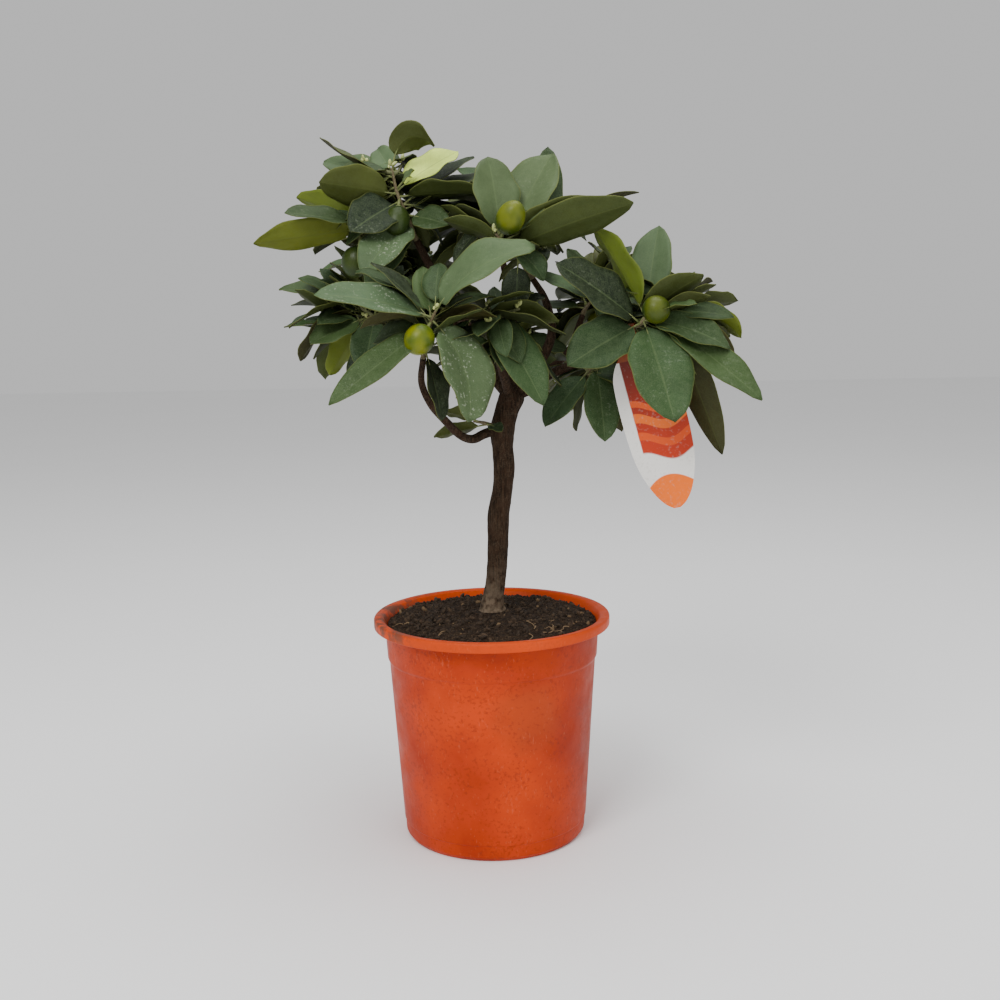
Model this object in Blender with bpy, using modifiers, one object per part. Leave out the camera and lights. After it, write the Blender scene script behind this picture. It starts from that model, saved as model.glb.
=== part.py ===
"""Potted nagami kumquat: a young tree on one bare stem, standing in a nursery pot of compost.

Lengths in this file are in millimetres and angles in degrees; the models are in metres.
X runs to the right, Y away from the viewer and Z up. The origin is the middle of the pot's underside.
"""
import math
import random
from collections import namedtuple

import bmesh
import bpy
from mathutils import Quaternion, Vector
from mathutils.bvhtree import BVHTree

MM = 0.001
GAP = 0.3
UP = Vector((0, 0, 1))

# Pot: a blow-moulded tub with a collar under its turned-over lip
POT_HEIGHT = 209.0
POT_RIM_RADIUS = 110.0
POT_BASE_RADIUS = 85.0
POT_WALL = 2.2
POT_FLOOR = 2.6
POT_SIDES = 40
LIP_DEPTH = 9.0
COLLAR_TOP_RADIUS = 99.6
COLLAR_FOOT_RADIUS = 98.0
COLLAR_FOOT = 171.0
WALL_TOP_RADIUS = 96.4
FOOT_LINE = 15.0
DRAIN_HOLES = 8
DRAIN_HOLE_RADIUS = 4.5
DRAIN_CIRCLE_RADIUS = 66.0

# Compost: heaped a little round the stem
SOIL_PATCH_RADIUS = 15.0
SOIL_TOP = 211.5
SOIL_EDGE_TOP = 204.0

# Limbs: points along the middle of each limb, and its radius at those points
TRUNK_PATH = [(1, 0, SOIL_TOP + GAP), (1, 0, 217), (2, 0, 226), (5, 0, 245), (7, 0, 274), (8, 0, 302), (12, 0, 325),
              (14, 0, 348), (13, 0, 365), (13, 0, 381), (17, 0, 398), (22, 0, 410), (24, 0, 416), (25, 0, 419)]
TRUNK_RADII = [13.5, 11.6, 10.0, 9.5, 9.9, 10.4, 9.6, 10.2, 10.2, 11.6, 11.0, 11.8, 9.5, 4.5]

Limb = namedtuple("Limb", "name path start_radius end_radius")
BOUGHS = [
    Limb("bough_low_left_lower", [(10, 0, 382), (-4, -6, 378), (-14, -18, 375), (-25, -30, 380), (-36, -44, 393)],
         4.8, 3.6),
    Limb("bough_low_left_upper", [(-36, -44, 393), (-49, -56, 410), (-56, -68, 430), (-53, -86, 452)], 3.6, 2.7),
    Limb("bough_left", [(22, 0, 410), (2, 8, 436), (-22, 6, 484), (-46, -8, 524), (-60, -18, 552)], 6.4, 3.2),
    Limb("bough_left_side", [(-20, 6, 480), (-46, 12, 492), (-72, 15, 492), (-88, 15, 488)], 3.6, 2.6),
    Limb("bough_centre", [(24, 0, 412), (45, -6, 438), (58, -18, 467), (53, -30, 497), (41, -44, 517)], 5.6, 2.7),
    Limb("bough_front", [(20, -2, 412), (14, -26, 436), (7, -46, 462), (5, -56, 474)], 4.6, 2.7),
    Limb("bough_right_low", [(24, 0, 411), (44, -2, 417), (61, -8, 409), (77, -14, 417), (87, -18, 428)], 4.4, 2.6),
    Limb("bough_right", [(24, 0, 414), (52, 6, 428), (88, -22, 446), (112, -52, 464), (118, -59, 468)], 5.0, 2.8),
    Limb("bough_back_left", [(20, 0, 410), (0, 32, 442), (-32, 62, 478), (-54, 78, 502)], 5.2, 2.8),
    Limb("bough_back_right", [(24, 0, 412), (44, 36, 424), (76, 66, 446), (92, 78, 482)], 5.2, 2.8),
    Limb("bough_back", [(23, 0, 412), (26, 30, 458), (20, 46, 510), (14, 48, 546)], 5.4, 2.8),
    Limb("bough_back_low", [(26, 28, 455), (22, 60, 452), (18, 86, 456)], 3.2, 2.5),
]
LIMB_SIDES = 10
TRUNK_SIDES = 16
LIMB_STEPS = 3

# Foliage. Headings turn from +X through +Y, so 270 points at the viewer; a rise is measured from the level.
# A leaf runs from its twig to its tip along heading and rise. turn rolls it about that line, arch is how far
# it bends over along its length, and bend is its sideways curve as a share of its length.
# stem and at say which stem of the mass bears it, and how far along.
Leaf = namedtuple("Leaf", "stem at heading rise length width turn arch bend", defaults=(0, 20, 0))
Fruit = namedtuple("Fruit", "stem at heading rise stalk length width")
Mass = namedtuple("Mass", "name stems leaves fruits shoots heading_range rise_range seed centre reach")
Growth = namedtuple("Growth", "stems solids leaves fruits")
PETIOLE = 9.0
LEAF_THICKNESS = 1.5
LEAF_FOLD = 14.0
LEAF_BELLY = 0.46
BLADE_STATIONS = (0.15, 0.38, 0.62, 0.84)
GROWN_LEAF_LENGTH = (62.0, 92.0)
GROWN_LEAF_WIDTH = 0.42
LEAF_CLEARANCE = 1.2
GOLDEN_ANGLE = 137.5
STEM_RADIUS = 2.5
STEM_LEAD = 4.0
SIDE_STEM_RADIUS = 1.7
SHOOT_RADIUS = 1.4
TWIG_TIP_RADIUS = 1.1
FRUIT_STALK_RADIUS = 0.9
SHOOT_LENGTH = (22.0, 42.0)
SHOOT_NODES = (0.35, 0.6, 0.8, 0.95)
SPREAD = 0.62

MASSES = [
    Mass("foliage_top_left",
         [[(-60, -18, 552), (-68, -24, 574), (-75, -30, 592), (-79, -31, 613)],
          [(-71, -27, 583), (-88, -29, 572), (-108, -30, 561)]],
         [Leaf(0, 0.96, 334, 24, 46, 28, -62, 100, 0.34),
          Leaf(0, 0.88, 159, 28, 80, 24, 10, -25),
          Leaf(0, 0.80, 143, 16, 88, 32, -35, 10),
          Leaf(0, 0.95, 112, 30, 48, 24, -40, 5),
          Leaf(0, 0.66, 207, 7, 72, 38, 60, 0),
          Leaf(1, 0.90, 161, 24, 71, 34, 45, 10),
          Leaf(1, 0.96, 200, -7, 96, 31, 55, 5),
          Leaf(0, 0.56, 220, -27, 60, 42, -45, 20),
          Leaf(0, 0.22, 237, -33, 80, 42, -25, 45),
          Leaf(0, 0.10, 228, -43, 75, 34, -10, 30),
          Leaf(0, 0.36, 326, -13, 47, 28, 45, 15),
          Leaf(0, 0.72, 334, 41, 24, 14, 40, 10),
          Leaf(0, 0.62, 338, -1, 85, 34, -25, 15),
          Leaf(0, 0.70, 24, 31, 68, 38, 30, 15),
          Leaf(0, 0.44, 22, 21, 98, 34, 10, 10),
          Leaf(0, 0.50, 29, 31, 84, 32, 10, 10)],
         [Fruit(0, 0.60, 261, -60, 10, 29, 22), Fruit(1, 0.96, 216, -75, 16, 28, 25)],
         3, (60, 170), (-10, 35), 11, (-100, -10, 585), (125, 95, 62)),
    Mass("foliage_left",
         [[(-88, 15, 488), (-98, 15, 487), (-112, 16, 484)]],
         [Leaf(0, 0.90, 209, -22, 60, 34, -30, 15),
          Leaf(0, 0.95, 180, -56, 62, 30, 50, 10),
          Leaf(0, 0.55, 260, -47, 68, 34, -10, 15),
          Leaf(0, 0.40, 237, -59, 80, 28, -10, 10)],
         [Fruit(0, 0.70, 120, -60, 12, 27, 24)],
         6, (95, 200), (-35, 35), 23, (-125, 40, 490), (85, 85, 85)),
    Mass("foliage_front_left",
         [[(-53, -86, 452), (-50, -95, 466), (-44, -105, 484), (-40, -108, 492)]],
         [Leaf(0, 0.96, 348, 31, 98, 50, 40, 60),
          Leaf(0, 0.80, 320, -65, 91, 50, 15, 20, -0.12),
          Leaf(0, 0.84, 194, 12, 99, 38, -35, 25),
          Leaf(0, 0.70, 211, -33, 112, 28, -35, 5),
          Leaf(0, 0.20, 340, -77, 62, 28, 10, 10)],
         [Fruit(0, 0.76, 229, -43, 8, 27, 25)],
         2, (30, 120), (20, 50), 37, (-70, -95, 490), (100, 70, 60)),
    Mass("foliage_low_left",
         [[(9.6, -11.3, 384), (6, -19, 386), (-3, -25, 390), (-13, -27, 392)]],
         [Leaf(0, 0.80, 211, 19, 38, 20, 35, 15), Leaf(0, 0.60, 300, -10, 28, 13, 20, 20)],
         [], 0, (0, 0), (0, 0), 41, (-25, -30, 390), (50, 50, 40)),
    Mass("foliage_centre",
         [[(41, -44, 517), (28, -60, 536), (15, -74, 548), (10, -77, 554)],
          [(33, -54, 529), (48, -40, 540), (62, -24, 552)]],
         [Leaf(0, 0.90, 112, 70, 74, 42, 0, 20),
          Leaf(0, 0.74, 40, 56, 94, 56, 15, 15),
          Leaf(0, 0.84, 352, 15, 98, 36, -50, 45),
          Leaf(0, 0.68, 340, 17, 113, 38, -50, 15),
          Leaf(1, 0.95, 12, 27, 88, 26, -15, 35),
          Leaf(1, 0.60, 80, 66, 98, 30, 10, 10),
          Leaf(0, 0.66, 332, -41, 42, 24, 30, 60),
          Leaf(0, 0.44, 256, -76, 48, 26, 0, 10),
          Leaf(0, 0.15, 332, -22, 67, 16, 30, 15)],
         [Fruit(0, 0.90, 307, 48, 8, 31, 24)],
         3, (100, 200), (5, 45), 53, (20, -50, 560), (80, 70, 60)),
    Mass("foliage_front",
         [[(5, -56, 474), (4, -64, 484), (3, -72, 493)]],
         [Leaf(0, 0.90, 323, -55, 97, 40, 30, 15),
          Leaf(0, 0.72, 336, -58, 46, 18, 20, 15),
          Leaf(0, 0.50, 17, -44, 88, 36, 20, 15)],
         [], 3, (200, 340), (-45, 20), 61, (10, -70, 480), (75, 60, 60)),
    Mass("foliage_right",
         [[(118, -59, 468), (126, -65, 473), (133, -70, 478), (137, -71, 485)],
          [(132, -69, 477), (145, -69, 480), (159, -65, 486), (167, -61, 489)]],
         [Leaf(0, 0.92, 174, 60, 90, 40, 25, 10),
          Leaf(0, 0.95, 62, 68, 82, 38, 0, 10),
          Leaf(0, 0.66, 199, 34, 92, 42, -58, 15),
          Leaf(0, 0.60, 198, -24, 74, 46, -50, 15),
          Leaf(0, 0.80, 298, -61, 96, 54, 20, 20),
          Leaf(1, 0.45, 333, -37, 113, 34, 42, 10),
          Leaf(1, 0.66, 8, -68, 132, 30, -60, 5),
          Leaf(1, 0.64, 29, 30, 56, 26, -25, 30),
          Leaf(1, 0.95, 0, -25, 60, 26, -35, 70),
          Leaf(1, 0.75, 8, -33, 67, 24, -40, 20),
          Leaf(1, 0.84, 48, -20, 72, 26, 25, 20)],
         [Fruit(1, 0.60, 237, 16, 8, 24, 24)],
         4, (30, 110), (-20, 20), 71, (160, -50, 480), (95, 75, 62)),
    Mass("foliage_right_low",
         [[(87, -18, 428), (92, -20, 436), (98, -21, 444)]],
         [Leaf(0, 0.50, 208, -46, 68, 32, -25, 10),
          Leaf(0, 0.95, 283, -70, 74, 34, 0, 10),
          Leaf(0, 0.78, 153, -74, 63, 26, 0, 10),
          Leaf(0, 0.70, 25, -64, 68, 26, -40, 10)],
         [], 5, (0, 110), (-50, 20), 83, (110, 0, 425), (75, 75, 60)),
    Mass("foliage_back_left",
         [[(-54, 78, 502), (-62, 84, 510), (-72, 90, 520)]],
         [], [Fruit(0, 0.70, 100, -50, 12, 28, 24)],
         10, (60, 240), (-45, 60), 97, (-88, 102, 510), (105, 92, 98)),
    Mass("foliage_back_right",
         [[(92, 78, 482), (98, 83, 492), (108, 88, 502)]],
         [], [Fruit(0, 0.70, 60, -50, 12, 28, 24)],
         11, (-40, 130), (-45, 55), 101, (125, 100, 480), (98, 95, 92)),
    Mass("foliage_back_top",
         [[(14, 48, 546), (11, 50, 560), (9, 51, 574)]],
         [], [Fruit(0, 0.60, 80, -40, 12, 28, 24)],
         10, (-60, 220), (-5, 60), 113, (10, 66, 572), (105, 88, 62)),
    Mass("foliage_back_low",
         [[(18, 86, 456), (17, 94, 460), (16, 104, 464)]],
         [], [Fruit(0, 0.75, 40, -60, 12, 26, 23)],
         9, (20, 160), (-60, 25), 127, (18, 122, 448), (98, 84, 80)),
]

# Label: a plastic strip looped over the twig that bears it, hanging with its face to the viewer
LABEL_LOOP_CENTRE = (124.0, -63.5, 471.8)
LABEL_DOWN = (0.26, 0.02, -0.97)
LABEL_ACROSS = (0.90, -0.34, 0.24)
LABEL_THICKNESS = 0.8
LABEL_LOOP_RADIUS = 5.0
LABEL_TAB = 16.0
LABEL_OUTLINE = [(6, 5), (14, 8), (22, 17), (32, 24), (46, 28), (80, 29), (110, 27.5), (128, 24), (145, 17.5),
                 (156, 10), (161, 3)]


def clear_scene():
    for old in list(bpy.data.objects):
        bpy.data.objects.remove(old, do_unlink=True)


def add_collection(name):
    collection = bpy.data.collections.new(name)
    bpy.context.scene.collection.children.link(collection)
    return collection


def add_material(name, color, roughness):
    material = bpy.data.materials.new(name)
    material.use_nodes = True
    shader = material.node_tree.nodes["Principled BSDF"]
    shader.inputs["Base Color"].default_value = (*color, 1)
    shader.inputs["Roughness"].default_value = roughness
    shader.inputs["Metallic"].default_value = 0.0
    return material


def metres(point):
    return Vector(point) * MM


def heading_vector(heading, rise):
    flat = math.cos(math.radians(rise))
    return Vector((flat * math.cos(math.radians(heading)), flat * math.sin(math.radians(heading)),
                   math.sin(math.radians(rise))))


def smooth_path(points, steps):
    """Points of a smooth curve through the given ones, with steps between each pair."""
    points = [Vector(p) for p in points]
    padded = [points[0] * 2 - points[1]] + points + [points[-1] * 2 - points[-2]]
    path = []
    for a, b, c, d in zip(padded, padded[1:], padded[2:], padded[3:]):
        for step in range(steps):
            t = step / steps
            path.append((b * 2 + (c - a) * t + (a * 2 - b * 5 + c * 4 - d) * t ** 2
                         + (b * 3 - a - c * 3 + d) * t ** 3) / 2)
    return path + [points[-1]]


def point_along(points, share):
    """The point at a share of a polyline's length."""
    points = [Vector(p) for p in points]
    spans = [(b - a).length for a, b in zip(points, points[1:])]
    left = share * sum(spans)
    for a, b, span in zip(points, points[1:], spans):
        if left <= span:
            return a.lerp(b, left / span)
        left -= span
    return points[-1]


def add_mesh(name, vertices, faces, material, collection):
    mesh = bpy.data.meshes.new(name)
    mesh.from_pydata([metres(v) for v in vertices], [], faces)
    mesh.materials.append(material)
    piece = bpy.data.objects.new(name, mesh)
    collection.objects.link(piece)
    return piece


def add_limb(name, path, radii, sides, material, collection):
    """A tapering limb: a round-bevelled curve with caps, turned into a mesh."""
    curve = bpy.data.curves.new(name, "CURVE")
    curve.dimensions = "3D"
    curve.bevel_depth = 1.0
    curve.bevel_resolution = sides // 2 - 2
    curve.use_fill_caps = True
    spline = curve.splines.new("POLY")
    spline.points.add(len(path) - 1)
    for knot, point, radius in zip(spline.points, path, radii):
        knot.co = (*metres(point), 1)
        knot.radius = radius * MM
    tube = bpy.data.objects.new(name + "_curve", curve)
    collection.objects.link(tube)
    bpy.context.view_layer.update()
    mesh = bpy.data.meshes.new_from_object(tube.evaluated_get(bpy.context.evaluated_depsgraph_get()))
    mesh.name = name
    bpy.data.objects.remove(tube)
    weld = bmesh.new()
    weld.from_mesh(mesh)
    bmesh.ops.remove_doubles(weld, verts=weld.verts, dist=0.01 * MM)
    weld.to_mesh(mesh)
    weld.free()
    mesh.materials.clear()
    mesh.materials.append(material)
    mesh.shade_smooth()
    mesh.set_sharp_from_angle(angle=math.radians(40))
    limb = bpy.data.objects.new(name, mesh)
    collection.objects.link(limb)
    return limb


def lead_on(path):
    """Two points that carry straight on from the end of a path, the first just clear of it."""
    run = (path[-1] - path[-2]).normalized()
    return [path[-1] + run * GAP, path[-1] + run * STEM_LEAD]


def limb_shape(limb):
    """Points along a bough and its radius at each of them."""
    path = smooth_path(limb.path, LIMB_STEPS)
    for lower in BOUGHS:
        if lower.path[-1] == limb.path[0]:
            path[:2] = lead_on(smooth_path(lower.path, LIMB_STEPS))
    last = len(path) - 1
    radii = [limb.start_radius + (limb.end_radius - limb.start_radius) * i / last for i in range(last + 1)]
    return path, radii


def cut(piece, cutter):
    boolean = piece.modifiers.new("clear of " + cutter.name, "BOOLEAN")
    boolean.operation = "DIFFERENCE"
    boolean.object = cutter


def as_cutter(piece):
    piece.hide_render = True
    piece.display_type = "WIRE"
    return piece


def pot_inner_wall():
    """Radius and height of the pot's inner wall, from its floor up to its mouth."""
    return [(POT_BASE_RADIUS - POT_WALL - 2, POT_FLOOR), (POT_BASE_RADIUS - POT_WALL, POT_FLOOR + 3),
            (WALL_TOP_RADIUS - POT_WALL, COLLAR_FOOT - 3), (COLLAR_FOOT_RADIUS - POT_WALL, COLLAR_FOOT + 1),
            (COLLAR_TOP_RADIUS - POT_WALL, POT_HEIGHT - 9)]


def pot_profile():
    lip_foot = POT_HEIGHT - LIP_DEPTH
    return [(0, POT_FLOOR), *pot_inner_wall(),
            (POT_RIM_RADIUS - 9, POT_HEIGHT - 1.6), (POT_RIM_RADIUS - 6, POT_HEIGHT),
            (POT_RIM_RADIUS - 1.4, POT_HEIGHT), (POT_RIM_RADIUS, POT_HEIGHT - 1.4),
            (POT_RIM_RADIUS, lip_foot), (POT_RIM_RADIUS - POT_WALL, lip_foot),
            (POT_RIM_RADIUS - POT_WALL, POT_HEIGHT - 3), (POT_RIM_RADIUS - 6, POT_HEIGHT - 3),
            (COLLAR_TOP_RADIUS, lip_foot - 2), (COLLAR_FOOT_RADIUS, COLLAR_FOOT),
            (WALL_TOP_RADIUS, COLLAR_FOOT - 2.5), (POT_BASE_RADIUS + 1.4, FOOT_LINE + 0.6),
            (POT_BASE_RADIUS + 0.6, FOOT_LINE), (POT_BASE_RADIUS, 4), (POT_BASE_RADIUS - 3, 0), (0, 0)]


def turned(name, profile, sides, material, collection):
    """A turned piece: its profile carried round Z by a Screw modifier."""
    mesh = bpy.data.meshes.new(name)
    edges = [(i, i + 1) for i in range(len(profile) - 1)]
    mesh.from_pydata([metres((radius, 0, height)) for radius, height in profile], edges, [])
    mesh.materials.append(material)
    piece = bpy.data.objects.new(name, mesh)
    collection.objects.link(piece)
    screw = piece.modifiers.new("turn", "SCREW")
    screw.steps = sides
    screw.render_steps = sides
    screw.use_merge_vertices = True
    screw.merge_threshold = 0.0001
    screw.use_smooth_shade = True
    return piece


def make_pot(material, collection, cutters):
    pot = turned("pot", pot_profile(), POT_SIDES, material, collection)
    for hole in range(DRAIN_HOLES):
        angle = 2 * math.pi * (hole + 0.5) / DRAIN_HOLES
        bpy.ops.mesh.primitive_cylinder_add(
            vertices=10, radius=DRAIN_HOLE_RADIUS * MM, depth=4 * POT_FLOOR * MM,
            location=(DRAIN_CIRCLE_RADIUS * MM * math.cos(angle), DRAIN_CIRCLE_RADIUS * MM * math.sin(angle), 0))
        drill = bpy.context.active_object
        drill.name = f"drain_hole_{hole + 1}"
        bpy.context.collection.objects.unlink(drill)
        cutters.objects.link(drill)
        cut(pot, as_cutter(drill))


def make_soil(material, collection):
    side = [(radius - GAP, height) for radius, height in pot_inner_wall()]
    side[0] = (side[0][0], POT_FLOOR + GAP)
    mouth_radius = side[-1][0]
    top = [(mouth_radius, SOIL_EDGE_TOP), (mouth_radius - 8, SOIL_EDGE_TOP + 2.5), (70, SOIL_TOP - 1.5),
           (40, SOIL_TOP + 0.5), (SOIL_PATCH_RADIUS + 5, SOIL_TOP + 0.5), (SOIL_PATCH_RADIUS, SOIL_TOP)]
    side[-1] = (mouth_radius, POT_HEIGHT - 10)
    profile = [(0, SOIL_TOP)] + top[::-1] + side[::-1] + [(0, POT_FLOOR + GAP)]
    turned("soil", profile, POT_SIDES, material, collection)


def make_limbs(material, collection, cutters):
    """The trunk and its boughs; each bough is cut clear of the limbs that were made before it."""
    trunk_path = [Vector(p) for p in TRUNK_PATH]
    limbs = [add_limb("trunk", trunk_path, TRUNK_RADII, TRUNK_SIDES, material, collection)]
    wider = [radius + GAP for radius in TRUNK_RADII]
    clearances = [as_cutter(add_limb("trunk_clearance", trunk_path, wider, TRUNK_SIDES, material, cutters))]
    for bough in BOUGHS:
        path, radii = limb_shape(bough)
        limb = add_limb(bough.name, path, radii, LIMB_SIDES, material, collection)
        reach = BVHTree.FromObject(limb, bpy.context.evaluated_depsgraph_get())
        for clearance in clearances:
            if reach.overlap(BVHTree.FromObject(clearance, bpy.context.evaluated_depsgraph_get())):
                cut(limb, clearance)
        limbs.append(limb)
        if bough.name != "bough_low_left_lower":
            wider = [radius + GAP for radius in radii]
            clearances.append(as_cutter(add_limb(bough.name + "_clearance", path, wider, LIMB_SIDES,
                                                 material, cutters)))
    return limbs


def leaf_frame(leaf, share):
    """Offset from the leaf's root, run, upper normal and side at a share of its length."""
    chord = heading_vector(leaf.heading, leaf.rise)
    over = (UP - chord * chord.z).normalized()
    over.rotate(Quaternion(chord, math.radians(leaf.turn)))
    half = math.radians(leaf.arch or 1) / 2
    radius = leaf.length / (2 * math.sin(half))
    angle = half * (2 * share - 1)
    run = chord * math.cos(angle) - over * math.sin(angle)
    normal = over * math.cos(angle) + chord * math.sin(angle)
    side = run.cross(normal)
    offset = chord * radius * (math.sin(angle) + math.sin(half)) + over * radius * (math.cos(angle) - math.cos(half))
    offset += side * leaf.bend * leaf.length * 4 * share * (1 - share)
    swing = Quaternion(normal, -math.atan(4 * leaf.bend * (1 - 2 * share)))
    run.rotate(swing)
    side.rotate(swing)
    return offset, run, normal, side


def leaf_half_width(leaf, blade_share):
    """Half the blade's width: broadest at LEAF_BELLY, drawn in to both ends."""
    exponent = math.log(0.5) / math.log(LEAF_BELLY)
    return leaf.width / 2 * math.sin(math.pi * blade_share ** exponent) ** 0.85


def leaf_solid(leaf, root, spare=0.0, stations=BLADE_STATIONS):
    """Corners and faces of a closed leaf: a four-sided petiole that opens into a folded blade.

    With spare the leaf is that much wider and thicker, and has no petiole, to test its room.
    """
    stalk = PETIOLE / leaf.length
    sections = [] if spare else [(0.0, 0.9, 1.8), (stalk, 0.8, 1.2)]
    for share in stations:
        half = leaf_half_width(leaf, share)
        sections.append((stalk + (1 - stalk) * share, half + spare, LEAF_THICKNESS + 2 * spare))
    vertices = []
    for place, half, thick in sections:
        offset, _, normal, side = leaf_frame(leaf, place)
        middle = root + offset
        lift = normal * half * math.tan(math.radians(LEAF_FOLD)) * (half > 2)
        vertices += [middle - side * half + lift, middle + normal * thick / 2, middle + side * half + lift,
                     middle - normal * thick / 2]
    faces = [(3, 2, 1, 0)]
    for ring in range(len(sections) - 1):
        for corner in range(4):
            a = 4 * ring + corner
            b = 4 * ring + (corner + 1) % 4
            faces.append((a, b, b + 4, a + 4))
    tip = len(vertices)
    vertices.append(root + leaf_frame(leaf, 1.0)[0])
    last = tip - 4
    faces += [(last + corner, last + (corner + 1) % 4, tip) for corner in range(4)]
    return vertices, faces


def twig_solid(path, start_radius, end_radius, sides):
    """Corners and faces of a closed tapering twig along a path."""
    path = [Vector(p) for p in path]
    last = len(path) - 1
    first_run = (path[1] - path[0]).normalized()
    aside = first_run.orthogonal().normalized()
    vertices = []
    for i, point in enumerate(path):
        run = (path[min(i + 1, last)] - path[max(i - 1, 0)]).normalized()
        aside = (aside - run * aside.dot(run)).normalized()
        beside = run.cross(aside)
        radius = start_radius + (end_radius - start_radius) * i / last
        for corner in range(sides):
            angle = 2 * math.pi * corner / sides
            vertices.append(point + (aside * math.cos(angle) + beside * math.sin(angle)) * radius)
    faces = [tuple(range(sides))[::-1], tuple(range(sides * last, sides * (last + 1)))]
    for ring in range(last):
        for corner in range(sides):
            a = sides * ring + corner
            b = sides * ring + (corner + 1) % sides
            faces.append((a, b, b + sides, a + sides))
    return vertices, faces


def fruit_solid(fruit, root):
    """Corners and faces of a fruit: an oval hanging on from its stalk's end."""
    run = heading_vector(fruit.heading, fruit.rise)
    rings, sides = 5, 8
    aside = run.orthogonal().normalized()
    beside = run.cross(aside)
    start = root + run * (fruit.stalk - 1)
    vertices = [start]
    for ring in range(1, rings):
        angle = math.pi * ring / rings
        middle = start + run * fruit.length / 2 * (1 - math.cos(angle))
        for corner in range(sides):
            turn = 2 * math.pi * corner / sides
            vertices.append(middle + (aside * math.cos(turn) + beside * math.sin(turn))
                            * fruit.width / 2 * math.sin(angle))
    vertices.append(start + run * fruit.length)
    faces = []
    for corner in range(sides):
        a = 1 + corner
        b = 1 + (corner + 1) % sides
        faces.append((0, b, a))
        for ring in range(rings - 2):
            faces.append((a + sides * ring, b + sides * ring, b + sides * (ring + 1), a + sides * (ring + 1)))
        end = sides * (rings - 2)
        faces.append((a + end, b + end, len(vertices) - 1))
    return vertices, faces


class Taken:
    """Solids that are already there, with their owner, for testing the room of a new one."""

    def __init__(self):
        self.trees = []

    def add(self, owner, solid, outer=None):
        whole = BVHTree.FromPolygons(*solid)
        self.trees.append((owner, whole, BVHTree.FromPolygons(*outer) if outer else whole))

    def blocks(self, owner, solids, outer):
        """Whether one of the solids meets another owner's, or their outer part one of its own owner's."""
        wholes = [BVHTree.FromPolygons(*solid) for solid in solids]
        tip = BVHTree.FromPolygons(*outer)
        for other, near, far in self.trees:
            if tip.overlap(far) if other == owner else any(whole.overlap(near) for whole in wholes):
                return True
        return False


def inside(mass, points):
    """Whether every point is in the mass's own space, an ellipsoid."""
    return all(sum(((p[i] - mass.centre[i]) / mass.reach[i]) ** 2 for i in range(3)) <= 1 for p in points)


def seated_stem(stem):
    """The stem, set clear of the bough's tip that it meets and running straight on from it at first."""
    for bough in BOUGHS:
        path = limb_shape(bough)[0]
        if (path[-1] - stem[0]).length < GAP:
            return lead_on(path) + stem[1:]
    return stem


def plan_foliage(taken):
    """Each mass's twigs, leaves and fruit that have room, by mass name."""
    plan = {}
    for mass in MASSES:
        stems = [[Vector(p) for p in stem] for stem in mass.stems]
        stems[0] = seated_stem(stems[0])
        solids = [twig_solid([stem[0]] + smooth_path(stem[1:], 2), SIDE_STEM_RADIUS if i else STEM_RADIUS,
                             TWIG_TIP_RADIUS, 5)
                  for i, stem in enumerate(stems)]
        for solid in solids:
            taken.add(mass.name, solid)
        plan[mass.name] = Growth(stems, solids, [], [])
        for fruit in mass.fruits:
            add_fruit(fruit, mass.name, plan, taken)
    for mass in MASSES:
        for leaf in mass.leaves:
            if not add_leaf(leaf, mass.name, plan, taken):
                print("no room for", mass.name, leaf)
    for mass in MASSES:
        grow(mass, plan, taken)
    return plan


def add_fruit(fruit, owner, plan, taken):
    growth = plan[owner]
    root = point_along(growth.stems[fruit.stem], fruit.at)
    run = heading_vector(fruit.heading, fruit.rise)
    body = fruit_solid(fruit, root)
    stalk = twig_solid([root, root + run * fruit.stalk], FRUIT_STALK_RADIUS, FRUIT_STALK_RADIUS, 4)
    growth.solids.extend((stalk, body))
    growth.fruits.append((fruit, root))
    taken.add(owner, stalk)
    taken.add(owner, body)


def add_leaf(leaf, owner, plan, taken):
    """Adds a leaf to its mass unless it would touch what is there."""
    growth = plan[owner]
    root = point_along(growth.stems[leaf.stem], leaf.at)
    solid = leaf_solid(leaf, root)
    room = leaf_solid(leaf, root, LEAF_CLEARANCE)
    if taken.blocks(owner, (solid, room), leaf_solid(leaf, root, LEAF_CLEARANCE, BLADE_STATIONS[1:])):
        return False
    taken.add(owner, solid, leaf_solid(leaf, root, 0.01, BLADE_STATIONS[1:]))
    growth.solids.append(solid)
    growth.leaves.append((leaf, root))
    return True


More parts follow.
